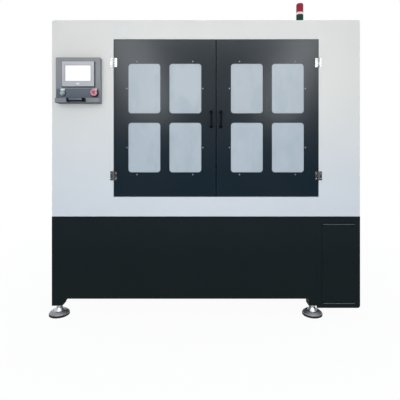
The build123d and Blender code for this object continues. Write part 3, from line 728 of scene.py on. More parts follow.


# Painted light: lighter and warmer towards the top, cooler and darker lower down
WHITE_PANEL = PowderCoat(
    "white_panel", (0.636, 0.678, 0.720), drift=(0.728, 0.726, 0.692), span=(0.62, 1.45),
    bare=(0.80, 0.81, 0.80), roughness=0.42, specular=0.3, mottle=0.16, wear_and_lit_edges=0.3,
)
# Painted light: the base panels turn lighter and bluer towards their top
BLACK_PANEL = PowderCoat(
    "black_panel", (0.0042, 0.0094, 0.0110), drift=(0.0070, 0.0132, 0.0168), span=(0.30, 0.58),
    bare=(0.05, 0.055, 0.06), roughness=0.42, specular=0.10, mottle=0.2, wear_and_lit_edges=0.4,
)
# Painted sheen: the doors turn a lighter, bluer grey over their upper part
DOOR_BLACK = PowderCoat(
    "door_black", (0.0066, 0.0165, 0.0255), drift=(0.0190, 0.0255, 0.0320), span=(0.72, 1.55),
    bare=(0.07, 0.075, 0.08), roughness=0.24, specular=0.29, mottle=0.15, wear_and_lit_edges=0.4,
)
FRAME_PAINT = PowderCoat(
    "frame_paint", (0.006, 0.010, 0.0115), drift=(0.038, 0.042, 0.046), span=(0.55, 0.65),
    bare=(0.12, 0.12, 0.125), roughness=0.6, specular=0.1,
)
# Painted shade on its underside, and painted light in its tone, which is lighter towards the top
CONSOLE_GREY = PowderCoat(
    "console_grey", (0.212, 0.225, 0.246), drift=(0.258, 0.270, 0.286), span=(1.28, 1.5),
    bare=(0.40, 0.41, 0.42), roughness=0.42, specular=0.3, mottle=0.3, under=0.85,
)
PLATE_GREY = PowderCoat(
    "plate_grey", (0.101, 0.126, 0.160), drift=(0.116, 0.139, 0.172), span=(1.3, 1.38),
    bare=(0.25, 0.26, 0.27), roughness=0.45, specular=0.3,
)
MACHINE_PAINT = PowderCoat(
    "machine_paint", (0.25, 0.28, 0.30), drift=(0.30, 0.33, 0.35), span=(0.7, 1.3),
    bare=(0.42, 0.43, 0.43), roughness=0.42,
)
MOTOR_BLACK = PowderCoat(
    "motor_black", (0.012, 0.013, 0.015), drift=(0.018, 0.019, 0.021), span=(1.0, 1.4),
    bare=(0.10, 0.10, 0.11), roughness=0.48,
)
BEZEL_SILVER = PowderCoat(
    "bezel_silver", (0.450, 0.460, 0.484), drift=(0.500, 0.511, 0.525), span=(1.37, 1.5),
    bare=(0.70, 0.71, 0.72), roughness=0.36, peel=0.00002,
)
FROSTED_WINDOW = FrostedPane(
    "frosted_window", (0.422, 0.467, 0.504), cool=(0.396, 0.470, 0.534), span=(0.9, 1.45),
    smudge=(0.50, 0.55, 0.585), stain=(0.360, 0.430, 0.472),
)
BRIGHT_STEEL = Metal("bright_steel", (0.62, 0.63, 0.64), (0.48, 0.49, 0.50), 0.22, Lay.ALONG_Z)
SCREW_STEEL = Metal("bright_steel", (0.29, 0.325, 0.36), (0.19, 0.22, 0.25), 0.46, variant="_screws")
# A darker copy of bright steel that paints the darker reflections of the hinges
SHADED_HINGE_STEEL = Metal(
    "bright_steel", (0.37, 0.38, 0.385), (0.25, 0.265, 0.27), 0.22, Lay.ALONG_Z, variant="_shaded_hinges",
)
FOOT_STEEL = FootMetal("foot_steel", (0.78, 0.80, 0.84), (0.66, 0.68, 0.72), 0.34, Lay.ROUND_Z)
RAIL_STEEL = Metal("rail_steel", (0.66, 0.67, 0.69), (0.60, 0.61, 0.63), 0.28, marks=520.0, depth=0.000004)
HOUSING_STEEL = Metal("housing_steel", (0.62, 0.63, 0.65), (0.40, 0.41, 0.42), 0.3, Lay.ROUND_Z)
GROUND_STEEL = Metal(
    "housing_steel", (0.50, 0.51, 0.53), (0.42, 0.43, 0.45), 0.42, Lay.ALONG_X, marks=480.0, depth=0.000006,
    variant="_ground",
)
CYLINDER_ALLOY = Metal("cylinder_alloy", (0.74, 0.75, 0.76), (0.55, 0.56, 0.58), 0.36, marks=420.0)
COLLAR_METAL = Metal("collar_metal", (0.56, 0.58, 0.59), (0.36, 0.38, 0.39), 0.3, marks=420.0)
TRAY_ZINC = Galvanised("tray_zinc", (0.62, 0.65, 0.67), (0.34, 0.36, 0.38))
BED_IRON = CastIron("bed_iron", (0.16, 0.19, 0.20), (0.52, 0.53, 0.54))
HANDLE_BLACK = Plastic("handle_black", (0.003, 0.0045, 0.006), (0.030, 0.033, 0.036), 0.36, specular=0.07)
START_GREEN = Plastic("start_green", (0.295, 0.390, 0.400), (0.46, 0.54, 0.53), 0.26)
# Pale pink rim and deep red middle: painted highlight and painted shade
STOP_RED = StopCap("stop_red", (0.620, 0.270, 0.335), (0.70, 0.40, 0.46), 0.24)
TOWER_BLACK = Plastic("tower_black", (0.016, 0.017, 0.019), (0.08, 0.08, 0.085), 0.4)
BEARING_BLACK = Plastic("bearing_black", (0.020, 0.021, 0.024), (0.09, 0.09, 0.095), 0.45)
GLAND_BLACK = Plastic("gland_black", (0.015, 0.016, 0.018), (0.07, 0.07, 0.075), 0.5)
ELECTRICS = Plastic("electrics", (0.32, 0.33, 0.33), (0.50, 0.50, 0.49), 0.5)
RUBBER = Rubber("rubber", (0.010, 0.010, 0.011), (0.05, 0.05, 0.05))
LENS_RED = RibbedLens("lens_red", (0.38, 0.026, 0.052), (0.21, 0.012, 0.029))
LENS_GREEN = RibbedLens("lens_green", (0.010, 0.064, 0.034), (0.004, 0.033, 0.018))
# Painted light: the clear band and seams are tinted pink for the red lens's light
LENS_CLEAR = RibbedLens("lens_clear", (1.0, 0.84, 0.86), (1.0, 0.80, 0.82), ribs=48)
SCREEN_WHITE = LitScreen(
    "screen_white", (1.0, 1.0, 1.0), rim=(0.80, 0.84, 0.88), glass=(0.62, 0.64, 0.66),
    dusty=(0.45, 0.46, 0.47),
)


class Form:
    """A mesh in the making, shaped by bmesh operators and then put into the scene."""

    def __init__(self) -> None:
        """Starts an empty mesh."""
        self.mesh = bmesh.new()

    def bevel(self, edges: Iterable[bmesh.types.BMEdge], width: float, segments: int = 2) -> None:
        """Rounds edges.

        Args:
            edges: The edges to round.
            width: Width of the rounding, in metres.
            segments: Facets across it.
        """
        bmesh.ops.bevel(
            self.mesh, geom=list(edges), offset=width, offset_type="OFFSET", segments=segments,
            profile=0.5, affect="EDGES", material=-1,
        )

    def block(self, lo: Point, hi: Point, edge: float, segments: int = 2) -> "Form":
        """Adds a block with rounded edges.

        Args:
            lo: Lowest corner.
            hi: Highest corner.
            edge: Width of the edges' rounding.
            segments: Facets across the rounding.

        Returns:
            This form.
        """
        low = Vector(lo)
        high = Vector(hi)
        place = Matrix.Translation((low + high) / 2) @ Matrix.Diagonal((*(high - low), 1.0))
        made = bmesh.ops.create_cube(self.mesh, size=1.0, matrix=place)
        self.bevel({side for vert in made["verts"] for side in vert.link_edges}, edge, segments)
        return self

    def rod(self, start: Point, end: Point, radius: float, rim: float, sides: int) -> "Form":
        """Adds a round or many-sided bar with rounded rims.

        Args:
            start: Middle of one end.
            end: Middle of the other end.
            radius: Radius to the corners.
            rim: Width of the rims' rounding.
            sides: Number of sides.

        Returns:
            This form.
        """
        first = Vector(start)
        run = Vector(end) - first
        made = bmesh.ops.create_cone(
            self.mesh, cap_ends=True, cap_tris=False, segments=sides, radius1=radius, radius2=radius,
            depth=run.length, matrix=Matrix.Translation(first + run / 2) @ laid_along(run),
        )
        caps = {face for vert in made["verts"] for face in vert.link_faces if len(face.verts) == sides}
        self.bevel({edge for face in caps for edge in face.edges}, rim)
        return self

    def _outline(self, outline: Sequence[Point], centre: Point, axis: Axis) -> list:
        """Draws an outline beside an axis, closed into a ring unless it starts on the axis.

        Args:
            outline: Pairs of radius and height along the axis.
            centre: Point on the axis where the height is 0.
            axis: The axis.

        Returns:
            The outline's vertices and edges.
        """
        place = Matrix.Translation(centre) @ axis.turn
        verts = [self.mesh.verts.new(place @ Vector((radius, 0.0, height))) for radius, height in outline]
        run = verts + verts[:1] if outline[0][0] > 0 else verts
        return verts + [self.mesh.edges.new(pair) for pair in zip(run, run[1:])]

    def lathe(self, outline: Sequence[Point], centre: Point, axis: Axis, steps: int) -> "Form":
        """Spins an outline into a round shape.

        Args:
            outline: Pairs of radius and height along the axis.
            centre: Point where the height is 0.
            axis: The axis to spin about.
            steps: Facets round the shape.

        Returns:
            This form.
        """
        bmesh.ops.spin(
            self.mesh, geom=self._outline(outline, centre, axis), cent=centre, axis=axis.value,
            angle=2 * math.pi, steps=steps, use_merge=True,
        )
        return self

    def thread(
        self, start: Point, axis: Axis, radius: float, depth: float, pitch: float, turns: int,
        steps: int = 14,
    ) -> "Form":
        """Winds a ridge round a shaft.

        Args:
            start: Point on the axis where the ridge starts.
            axis: The shaft's axis.
            radius: The shaft's radius.
            depth: How far the ridge stands out and is let in.
            pitch: Rise in one turn.
            turns: Number of turns.
            steps: Facets in one turn.

        Returns:
            This form.
        """
        low = radius - depth
        high = radius + depth
        outline = ((low, 0.0), (low, 0.6 * pitch), (high, 0.45 * pitch), (high, 0.15 * pitch))
        bmesh.ops.spin(
            self.mesh, geom=self._outline(outline, start, axis), cent=start, axis=axis.value,
            dvec=Vector(axis.value) * (pitch / steps), angle=2 * math.pi * turns, steps=steps * turns,
        )
        return self.close()

    def bail(self, foot: Point, span: Vector, out: Vector, radius: float, bend: float, sides: int) -> "Form":
        """Bends a round bar into a bridge handle.

        Args:
            foot: Middle of the first foot.
            span: Run from the first foot to the second.
            out: Run from the foot to the bar's middle.
            radius: The bar's radius.
            bend: Radius of the two bends.
            sides: Facets round the bar.

        Returns:
            This form.
        """
        away = out.normalized()
        along = span.normalized()
        hinge = away.cross(along)
        stem = out - bend * away
        run = span - 2 * bend * along
        centre = Vector(foot) + stem + bend * along
        place = Matrix.Translation(foot) @ laid_along(away)
        ring = bmesh.ops.create_circle(self.mesh, segments=sides, radius=radius, matrix=place)["verts"]
        ring = self._turn(self._draw(ring, stem), centre, hinge)
        ring = self._turn(self._draw(ring, run), centre + run, hinge)
        self._draw(ring, -stem)
        return self.close()

    def _rim(self, ring: list) -> list:
        """Edges between a ring's vertices."""
        return list({edge for vert in ring for edge in vert.link_edges if all(v in ring for v in edge.verts)})

    def _draw(self, ring: list, run: Vector) -> list:
        """Draws a ring of vertices out along a run.

        Args:
            ring: The vertices.
            run: The run.

        Returns:
            The new ring.
        """
        made = bmesh.ops.extrude_edge_only(self.mesh, edges=self._rim(ring))["geom"]
        fresh = [item for item in made if isinstance(item, bmesh.types.BMVert)]
        bmesh.ops.translate(self.mesh, verts=fresh, vec=run)
        return fresh

    def _turn(self, ring: list, centre: Vector, hinge: Vector, steps: int = 7) -> list:
        """Turns a ring of vertices through a quarter circle.

        Args:
            ring: The vertices.
            centre: Centre of the turn.
            hinge: Axis of the turn.
            steps: Facets along the turn.

        Returns:
            The last ring.
        """
        made = bmesh.ops.spin(
            self.mesh, geom=ring + self._rim(ring), cent=centre, axis=hinge, angle=math.pi / 2, steps=steps,
        )["geom_last"]
        return [item for item in made if isinstance(item, bmesh.types.BMVert)]

    def close(self) -> "Form":
        """Fills the open ends of what was drawn out or wound."""
        bmesh.ops.holes_fill(self.mesh, edges=[edge for edge in self.mesh.edges if edge.is_boundary])
        return self

    def put(self, name: str, body: str, finish: Finish) -> bpy.types.Object:
        """Ends the mesh and puts it on a body.

        Args:
            name: The piece's name.
            body: CAD body that it rides on.
            finish: Its finish.

        Returns:
            The piece.
        """
        bmesh.ops.remove_doubles(self.mesh, verts=self.mesh.verts[:], dist=MERGE)
        bmesh.ops.recalc_face_normals(self.mesh, faces=self.mesh.faces[:])
        data = bpy.data.meshes.new(name)
        self.mesh.to_mesh(data)
        self.mesh.free()
        data.shade_smooth()
        data.set_sharp_from_angle(angle=SHARP)
        data.materials.append(finish.material())
        piece = bpy.data.objects.new(name, data)
        bpy.context.scene.collection.objects.link(piece)
        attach(piece, body)
        LOG.info("%s rides on %s in %s", name, body, finish.slot)
        return piece


@dataclass(frozen=True)
class ScrewHead:
    """A button-head screw, seen as its dome and its socket."""

    radius: float = 0.0050
    height: float = 0.0026
    socket: float = 0.0022
    sink: float = 0.001
    steps: int = 14

    def add(self, form: Form, places: Iterable[Point], axis: Axis, sense: int) -> Form:
        """Adds a head at each of some places.

        Args:
            form: The form to add to.
            places: Points on the surface under the heads.
            axis: Axis of the screws.
            sense: 1 where the heads look along the axis, and -1 where they look back.

        Returns:
            The form.
        """
        outline = (
            (0.0, -self.sink), (self.radius, -self.sink), (self.radius, 0.25 * self.height),
            (0.86 * self.radius, 0.7 * self.height), (0.6 * self.radius, self.height),
            (self.socket, self.height), (0.9 * self.socket, 0.35 * self.height), (0.0, 0.35 * self.height),
        )
        for place in places:
            form.lathe([(radius, sense * height) for radius, height in outline], place, axis, self.steps)
        return form


@dataclass
class LevellingFeet:
    """Four domed steel feet on rubber, with studs and lock nuts."""

    pad_radius: float = 0.058
    pad_low: float = 0.0102
    pad_inset: float = 0.002
    dome: Outline = (
        (0.0580, 0.0118), (0.0580, 0.0146), (0.0569, 0.0164), (0.0530, 0.0194), (0.0480, 0.0232),
        (0.0430, 0.0268), (0.0405, 0.0282), (0.0385, 0.0286), (0.0362, 0.0280), (0.0334, 0.0270),
        (0.0318, 0.0272), (0.0302, 0.0288), (0.0264, 0.0342), (0.0228, 0.0396), (0.0198, 0.0444),
        (0.0174, 0.0487),
    )
    neck_radius: float = 0.0160
    neck_inset: float = 0.003
    lip: float = 0.0003
    socket_radius: float = 0.0106
    socket_low: float = 0.0415
    steps: int = 56

    def build(self) -> None:
        """Spins the domes, in place of the plain pads."""
        pads = Room.of("foot_pads")
        top = pads.hi.z
        outline = (
            (0.0, self.pad_low), (self.pad_radius - self.pad_inset, self.pad_low), *self.dome,
            (self.neck_radius, top - self.lip), (self.neck_radius - self.neck_inset, top),
            (self.socket_radius, top - self.lip), (self.socket_radius, self.socket_low),
            (0.0, self.socket_low),
        )
        domes = Form()
        for x, y in product(pads.ends(Axis.X, self.pad_radius), pads.ends(Axis.Y, self.pad_radius)):
            domes.lathe(outline, (x, y, 0.0), Axis.Z, self.steps)
        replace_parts(domes.put("foot_domes", "cabinet", FOOT_STEEL), "foot_pads")

    def dress(self) -> None:
        """Finishes the feet's CAD nodes."""
        FOOT_STEEL.dress("foot_pads")
        RUBBER.dress("foot_rubbers")
        BRIGHT_STEEL.dress("foot_studs")


@dataclass
class Base:
    """Black base, the electrical box beside it and what is in them."""

    screw: ScrewHead = ScrewHead(0.0046, 0.0022)
    screw_inset: float = 0.011
    skirt_inset: float = 0.035
    skirt_pitch: float = 0.29
    ledge_inset: float = 0.004
    ledge_height: float = 0.0026
    ledge_proud: float = 0.006
    ledge_edge: float = 0.0010

    def build(self) -> None:
        """Adds the cover's ledges, pale with painted light, the cover's screws and the skirts' screws."""
        self._lit_ledges()
        cover = Room.of("access_cover")
        low, high = cover.ends(Axis.Z, self.screw_inset)
        places = product(cover.ends(Axis.X, self.screw_inset), [cover.lo.y], (low, cover.mid.z, high))
        self.screw.add(Form(), places, Axis.Y, -1).put("access_cover_screws", "cabinet", HANDLE_BLACK)
        skirts = Room.of("base_skirts")
        xs, ys = (skirts.row(axis, self.skirt_inset, self.skirt_pitch) for axis in (Axis.X, Axis.Y))
        zs = skirts.ends(Axis.Z, self.skirt_inset)
        screws = self.screw.add(Form(), product(xs, [skirts.hi.y], zs), Axis.Y, 1)
        self.screw.add(screws, product([skirts.lo.x], ys, zs), Axis.X, -1)
        screws.put("skirt_screws", "cabinet", HANDLE_BLACK)

    def _lit_ledges(self) -> None:
        """Adds the folded ledges along the foot and the head of the cover, painted pale for the light on
        their tops.
        """
        cover = Room.of("access_cover")
        x0, x1 = cover.ends(Axis.X, self.ledge_inset)
        foot, head = cover.ends(Axis.Z, self.ledge_inset)
        near = cover.lo.y - self.ledge_proud
        far = cover.lo.y + SEAT
        ledges = Form()
        for low in (foot, head - self.ledge_height):
            ledges.block((x0, near, low), (x1, far, low + self.ledge_height), self.ledge_edge, segments=3)
        # Painted light: the ledges' grey stands for light caught on the tops of the cover's folds
        ledges.put("cover_lit_ledges", "cabinet", PLATE_GREY)

    def dress(self) -> None:
        """Finishes the base's CAD nodes."""
        FRAME_PAINT.dress("cabinet_frame")
        BLACK_PANEL.dress("base_front_panel", "base_skirts", "service_box", "access_cover")
        GLAND_BLACK.dress("cable_gland")
        ELECTRICS.dress("wiring_panel")
        TRAY_ZINC.dress("chip_tray")


@dataclass
class Enclosure:
    """White upper panels, the seal round the door opening and the fixed sides of the hinges."""

    screw: ScrewHead = ScrewHead()
    screw_inset: float = 0.030
    screw_pitch: float = 0.30
    tower_clear: float = 0.060
    door_gap: float = 0.0025
    seal_width: float = 0.011
    seal_gap: float = 0.0006
    seal_edge: float = 0.003
    seal_lap: float = 0.004

    def build(self) -> None:
        """Adds the panels' screws and the door seal."""
        self._screws()
        self._seal()

    def _screws(self) -> None:
        """Adds rows of screws to the back panel and the roof, but for those too near the tower."""
        back = Room.of("enclosure_back")
        roof = Room.of("enclosure_roof")
        tower = Room.of("tower_base").mid.xy
        xs, zs = (back.row(axis, self.screw_inset, self.screw_pitch) for axis in (Axis.X, Axis.Z))
        screws = self.screw.add(Form(), product(xs, [back.hi.y], (zs[0], zs[-1])), Axis.Y, 1)
        self.screw.add(screws, product((xs[0], xs[-1]), [back.hi.y], zs[1:-1]), Axis.Y, 1)
        places = product(xs, roof.ends(Axis.Y, self.screw_inset), [roof.hi.z])
        clear = [place for place in places if math.dist(place[:2], tower) > self.tower_clear]
        self.screw.add(screws, clear, Axis.Z, 1).put("panel_screws", "cabinet", BRIGHT_STEEL)

    def _seal(self) -> None:
        """Adds the rubber seal that the doors close against, with a gap at the magnets."""
        left = Room.of("left_door")
        magnets = Room.of("door_magnets")
        reach = Vector((self.door_gap, 0.0, self.door_gap))
        low = left.lo - reach
        high = Room.of("right_door").hi + reach
        front = left.hi.y + self.seal_gap
        width = self.seal_width
        inner = width - self.seal_lap
        runs = (
            ((low.x, low.z), (low.x + width, high.z)),
            ((high.x - width, low.z), (high.x, high.z)),
            ((low.x + inner, low.z), (high.x - inner, low.z + width)),
            ((low.x + inner, high.z - width), (magnets.lo.x - width, high.z)),
            ((magnets.hi.x + width, high.z - width), (high.x - inner, high.z)),
        )
        seal = Form()
        for (x0, z0), (x1, z1) in runs:
            seal.block((x0, front, z0), (x1, front + width, z1), self.seal_edge, segments=3)
        seal.put("door_seal", "cabinet", RUBBER)

    def dress(self) -> None:
        """Finishes the enclosure's CAD nodes."""
        WHITE_PANEL.dress("enclosure_front", "enclosure_back", "enclosure_sides", "enclosure_roof")
        BEARING_BLACK.dress("door_magnets")
        SHADED_HINGE_STEEL.dress("fixed_hinge_leaves", "hinge_pins")


@dataclass
class Door:
    """One door with its handle, its hinges' screws and the strike plate for its magnet."""

    side: Side
    bar_radius: float = 0.0048
    bar_sides: int = 16
    bend: float = 0.016
    boss_radius: float = 0.0108
    boss_height: float = 0.012
    boss_steps: int = 28
    screw: ScrewHead = ScrewHead(0.0034, 0.0014, 0.0012)
    screw_pitch: float = 0.031
    leaf_half: float = 0.027
    leaf_inset: float = 0.006
    leaf_proud: float = 0.0025
    plate_width: float = 0.040
    plate_height: float = 0.013
    plate_thick: float = 0.0025
    plate_sunk: float = 0.0001
    plate_edge: float = 0.0005
    fold_drop: float = 0.0022
    fold_depth: float = 0.012
    fold_thick: float = 0.002

    @property
    def body(self) -> str:
        """Name of the door's node and body."""
        return self.side.word + "_door"

    def build(self) -> None:
        """Builds the door's pieces."""
        self._handle()
        self._hinge_screws()
        self._strike()

    def _handle(self) -> None:
        """Bends a slim bar with a wide boss at each end, in place of the plain handle."""
        node = self.body + "_handle"
        room = Room.of(node)
        boss = self.boss_radius
        tall = self.boss_height
        foot = Vector((room.mid.x, room.hi.y, room.lo.z + boss))
        span = Vector((0.0, 0.0, room.size.z - 2 * boss))
        out = Vector((0.0, self.bar_radius - room.size.y, 0.0))
        outline = (
            (0.0, 0.0), (boss, 0.0), (boss, -0.35 * tall), (0.9 * boss, -0.6 * tall),
            (0.7 * boss, -0.85 * tall), (0.5 * boss, -tall), (0.0, -tall),
        )
        handle = Form().bail(foot, span, out, self.bar_radius, self.bend, self.bar_sides)
        for place in (foot, foot + span):
            handle.lathe(outline, place, Axis.Y, self.boss_steps)
        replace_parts(handle.put(self.body + "_grip", self.body, HANDLE_BLACK), node)

    def _hinge_screws(self) -> None:
        """Adds two bright screws to each leaf of the door's hinges."""
        word = self.side.word
        leaves = Room.of(word + "_hinge_leaves")
        inset = self.side.value * self.leaf_inset
        door_x = leaves.inner(self.side) + inset
        jamb_x = Room.of("fixed_hinge_leaves").outer(self.side) - inset
        face = Room.of("base_front_panel").lo.y - self.leaf_proud
        half = self.screw_pitch / 2
        zs = [z + step for z in leaves.ends(Axis.Z, self.leaf_half) for step in (-half, half)]
        for name, body, x in (("_hinge_screws", self.body, door_x), ("_jamb_screws", "cabinet", jamb_x)):
            screws = self.screw.add(Form(), product([x], [face], zs), Axis.Y, -1)
            screws.put(word + name, body, BRIGHT_STEEL)

    def _strike(self) -> None:
        """Adds the thin folded steel plate that the door magnet holds."""
        door = Room.of(self.body)
        x = Room.of("door_magnets").outer(self.side)
        x0, x1 = sorted((x, x - self.side.value * self.plate_width))
        back = door.hi.y
        top = door.hi.z - self.fold_drop
        low = (x0, back - self.plate_thick, top - self.plate_height)
        plate = Form().block(low, (x1, back - self.plate_sunk, top), self.plate_edge)
        plate.block((x0, back - self.fold_depth, top - self.fold_thick), (x1, back, top), self.plate_edge)
        plate.put(self.body + "_strike", self.body, BRIGHT_STEEL)

    def dress(self) -> None:
        """Finishes the door's CAD nodes."""
        DOOR_BLACK.dress(self.body)
        FROSTED_WINDOW.dress(self.side.word + "_window")
        SHADED_HINGE_STEEL.dress(self.side.word + "_hinge_leaves")
        SCREW_STEEL.dress(self.side.word + "_window_screws")
        HANDLE_BLACK.dress(self.body + "_handle")


@dataclass
class Console:
    """Control box with its touch panel, buttons and handle.

    An outline of a cap has pairs of a share of the button's radius and a depth behind its face.
    """

    # The gasket's wide lap below and at the sides is painted shadow round the panel
    gasket_shadow_lap: float = 0.0045
    gasket_over: float = 0.0008
    gasket_thick: float = 0.003
    gasket_edge: float = 0.0007
    rim_width: float = 0.003
    rim_gap: float = 0.0001
    rim_proud: float = 0.0006
    rim_edge: float = 0.0005
    tab_width: float = 0.018
    tab_height: float = 0.010
    tab_proud: float = 0.0008
    tab_seat: float = 0.001
    tab_edge: float = 0.0007
    start_cap: Outline = (
        (0.0, 0.0), (0.45, 0.0001), (0.75, 0.0006), (0.92, 0.0016), (1.0, 0.0032), (1.0, 0.0049),
        (0.46, 0.0049),
    )
    start_ring: Outline = (
        (0.0118, 0.0), (0.0150, -0.0003), (0.0152, -0.0018), (0.0140, -0.0026), (0.0122, -0.0022),
    )
    ring_seat: float = 0.0002
    start_steps: int = 36
    stop_cap: Outline = (
        (0.0, 0.0022), (0.35, 0.0018), (0.55, 0.0006), (0.66, 0.0), (0.80, 0.0010), (0.92, 0.0036),
        (0.985, 0.0075), (1.0, 0.0110), (0.985, 0.0150), (0.90, 0.0160), (0.55, 0.0162), (0.55, 0.0190),
        (0.25, 0.0190),
    )
    stop_steps: int = 48
    # Flat black rings round the buttons: painted shadow on the plate
    start_shadow_ring: float = 0.0185
    stop_shadow_ring: float = 0.0245
    shadow_ring_thick: float = 0.0012
    legend_width: float = 0.024
    legend_height: float = 0.012
    legend_rise: float = 0.0204
    legend_thick: float = 0.0020
    legend_edge: float = 0.0006
    foot_length: float = 0.014
    foot_edge: float = 0.004
    bar_thick: float = 0.010
    bar_inset: float = 0.001
    bar_edge: float = 0.003
    pad_proud: float = 0.0012
    lit_pad_depth: float = 0.004
    lit_pad_drop: float = 0.003
    pad_inset: float = 0.002
    lit_pad_edge: float = 0.0011
    screw: ScrewHead = ScrewHead(0.0030, 0.0012, 0.0012)
    screw_inset: float = 0.006

    def build(self) -> None:
        """Builds the panel's trim, the buttons' caps, the plates above them and the handle."""
        self._panel_trim()
        self._cap("start_button", "start_cap", self.start_cap, self.start_steps, START_GREEN)
        self._ring()
        self._cap("emergency_stop", "stop_mushroom", self.stop_cap, self.stop_steps, STOP_RED)
        self._surrounds()
        self._bridge()
        self._plate_screws()

    def _panel_trim(self) -> None:
        """Adds the gasket behind the panel, lapped wide below and at the sides as painted shadow, the rim
        round the screen and the blank tab below it.
        """
        bezel = Room.of("touch_panel")
        screen = Room.of("touch_screen")
        face = Room.of("button_plate").lo.y
        lap = self.gasket_shadow_lap
        gasket = Form().block(
            (bezel.lo.x - lap, face - self.gasket_thick, bezel.lo.z - lap),
            (bezel.hi.x + lap, face + SEAT, bezel.hi.z + self.gasket_over), self.gasket_edge, segments=3,
        )
        gasket.put("panel_gasket_shadow", "cabinet", RUBBER)
        wide = self.rim_width
        near = bezel.lo.y - self.rim_proud
        far = screen.lo.y + SEAT
        x0, x1 = screen.ends(Axis.X, self.rim_gap)
        z0, z1 = screen.ends(Axis.Z, -wide)
        rim = Form()
        for x in (screen.lo.x - wide, screen.hi.x):
            rim.block((x, near, z0), (x + wide, far, z1), self.rim_edge)
        for z in (z0, screen.hi.z):
            rim.block((x0, near, z), (x1, far, z + wide), self.rim_edge)
        rim.put("screen_rim", "cabinet", ELECTRICS)
        middle = Vector((bezel.mid.x, bezel.lo.y, (bezel.lo.z + screen.lo.z) / 2))
        low = middle - Vector((self.tab_width / 2, self.tab_proud, self.tab_height / 2))
        high = middle + Vector((self.tab_width / 2, self.tab_seat, self.tab_height / 2))
        Form().block(low, high, self.tab_edge, segments=3).put("panel_tab", "cabinet", WHITE_PANEL)

    def _cap(self, node: str, name: str, outline: Outline, steps: int, finish: Finish) -> None:
        """Spins a button's cap, in place of its plain node.

        Args:
            node: The button's node, which is also its body.
            name: The cap's name.
            outline: Shares of the radius and depths, from the middle of the face to the stem.
            steps: Facets round the cap.
            finish: The cap's finish.
        """
        room = Room.of(node)
        points = [(share * room.radius, depth) for share, depth in outline]
        points += [(points[-1][0], room.size.y), (0.0, room.size.y)]
        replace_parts(Form().lathe(points, room.front, Axis.Y, steps).put(name, node, finish), node)

    def _ring(self) -> None:
        """Spins the ring round the start button."""
        centre = Room.of("start_button").mid
        centre.y = Room.of("button_collars").lo.y + self.ring_seat
        ring = Form().lathe(self.start_ring, centre, Axis.Y, self.start_steps)
        ring.put("start_ring", "cabinet", START_GREEN)

    def _surrounds(self) -> None:
        """Adds a flat black rubber ring round each button, which paints the button's shadow on the plate, and
        the blank plate above it.
        """
        face = Room.of("button_plate").lo.y
        inner = Room.of("button_collars").size.z / 2
        thick = self.shadow_ring_thick
        half = Vector((self.legend_width / 2, 0.0, self.legend_height / 2))
        shadow_rings = Form()
        legends = Form()
        for node, outer in (("start_button", self.start_shadow_ring), ("emergency_stop", self.stop_shadow_ring)):
            middle = Room.of(node).mid
            middle.y = face
            outline = ((inner, SEAT), (outer, SEAT), (outer, -thick), (inner, -thick))
            shadow_rings.lathe(outline, middle, Axis.Y, self.start_steps)
            low = middle - half + Vector((0.0, -self.legend_thick, self.legend_rise))
            high = middle + half + Vector((0.0, SEAT, self.legend_rise))
            legends.block(low, high, self.legend_edge, segments=3)
        shadow_rings.put("button_shadow_rings", "cabinet", RUBBER)
        legends.put("blank_legends", "cabinet", WHITE_PANEL)

    def _bridge(self) -> None:
        """Builds the lip's handle, with two feet, a bar and a grey pad along the bar's upper half that paints
        the light on the grip's top.
        """
        room = Room.of("console_handle")
        near = room.lo.y + self.pad_proud
        x0, x1 = room.ends(Axis.X, self.foot_length)
        bridge = Form()
        for low, high in ((room.lo.x, x0), (x1, room.hi.x)):
            bridge.block((low, near, room.lo.z), (high, room.hi.y, room.hi.z), self.foot_edge, segments=4)
        low, high = room.ends(Axis.X, self.foot_length / 2)
        foot, top = room.ends(Axis.Z, self.bar_inset)
        bridge.block((low, near + SEAT, foot), (high, near + self.bar_thick, top), self.bar_edge, segments=4)
        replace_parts(bridge.put("console_bridge", "cabinet", HANDLE_BLACK), "console_handle")
        # Painted light: the grey pad stands for the lit upper half of the black grip
        pad = Form().block(
            (x0, room.lo.y, room.mid.z - self.lit_pad_drop),
            (x1, near + self.lit_pad_depth, room.hi.z - self.pad_inset), self.lit_pad_edge, segments=3,
        )
        pad.put("console_grip_painted_light", "cabinet", PLATE_GREY)

    def _plate_screws(self) -> None:
        """Adds the button plate's painted screws."""
        plate = Room.of("button_plate")
        xs, zs = (plate.ends(axis, self.screw_inset) for axis in (Axis.X, Axis.Z))
        screws = self.screw.add(Form(), product(xs, [plate.lo.y], zs), Axis.Y, -1)
        screws.put("button_plate_screws", "cabinet", PLATE_GREY)

    def dress(self) -> None:
        """Finishes the control box's CAD nodes."""
        CONSOLE_GREY.dress("console_housing")
        PLATE_GREY.dress("button_plate")
        COLLAR_METAL.dress("button_collars")
        BEZEL_SILVER.dress("touch_panel")
        SCREEN_WHITE.dress("touch_screen")
        START_GREEN.dress("start_button")
        STOP_RED.dress("emergency_stop")
        HANDLE_BLACK.dress("console_handle")


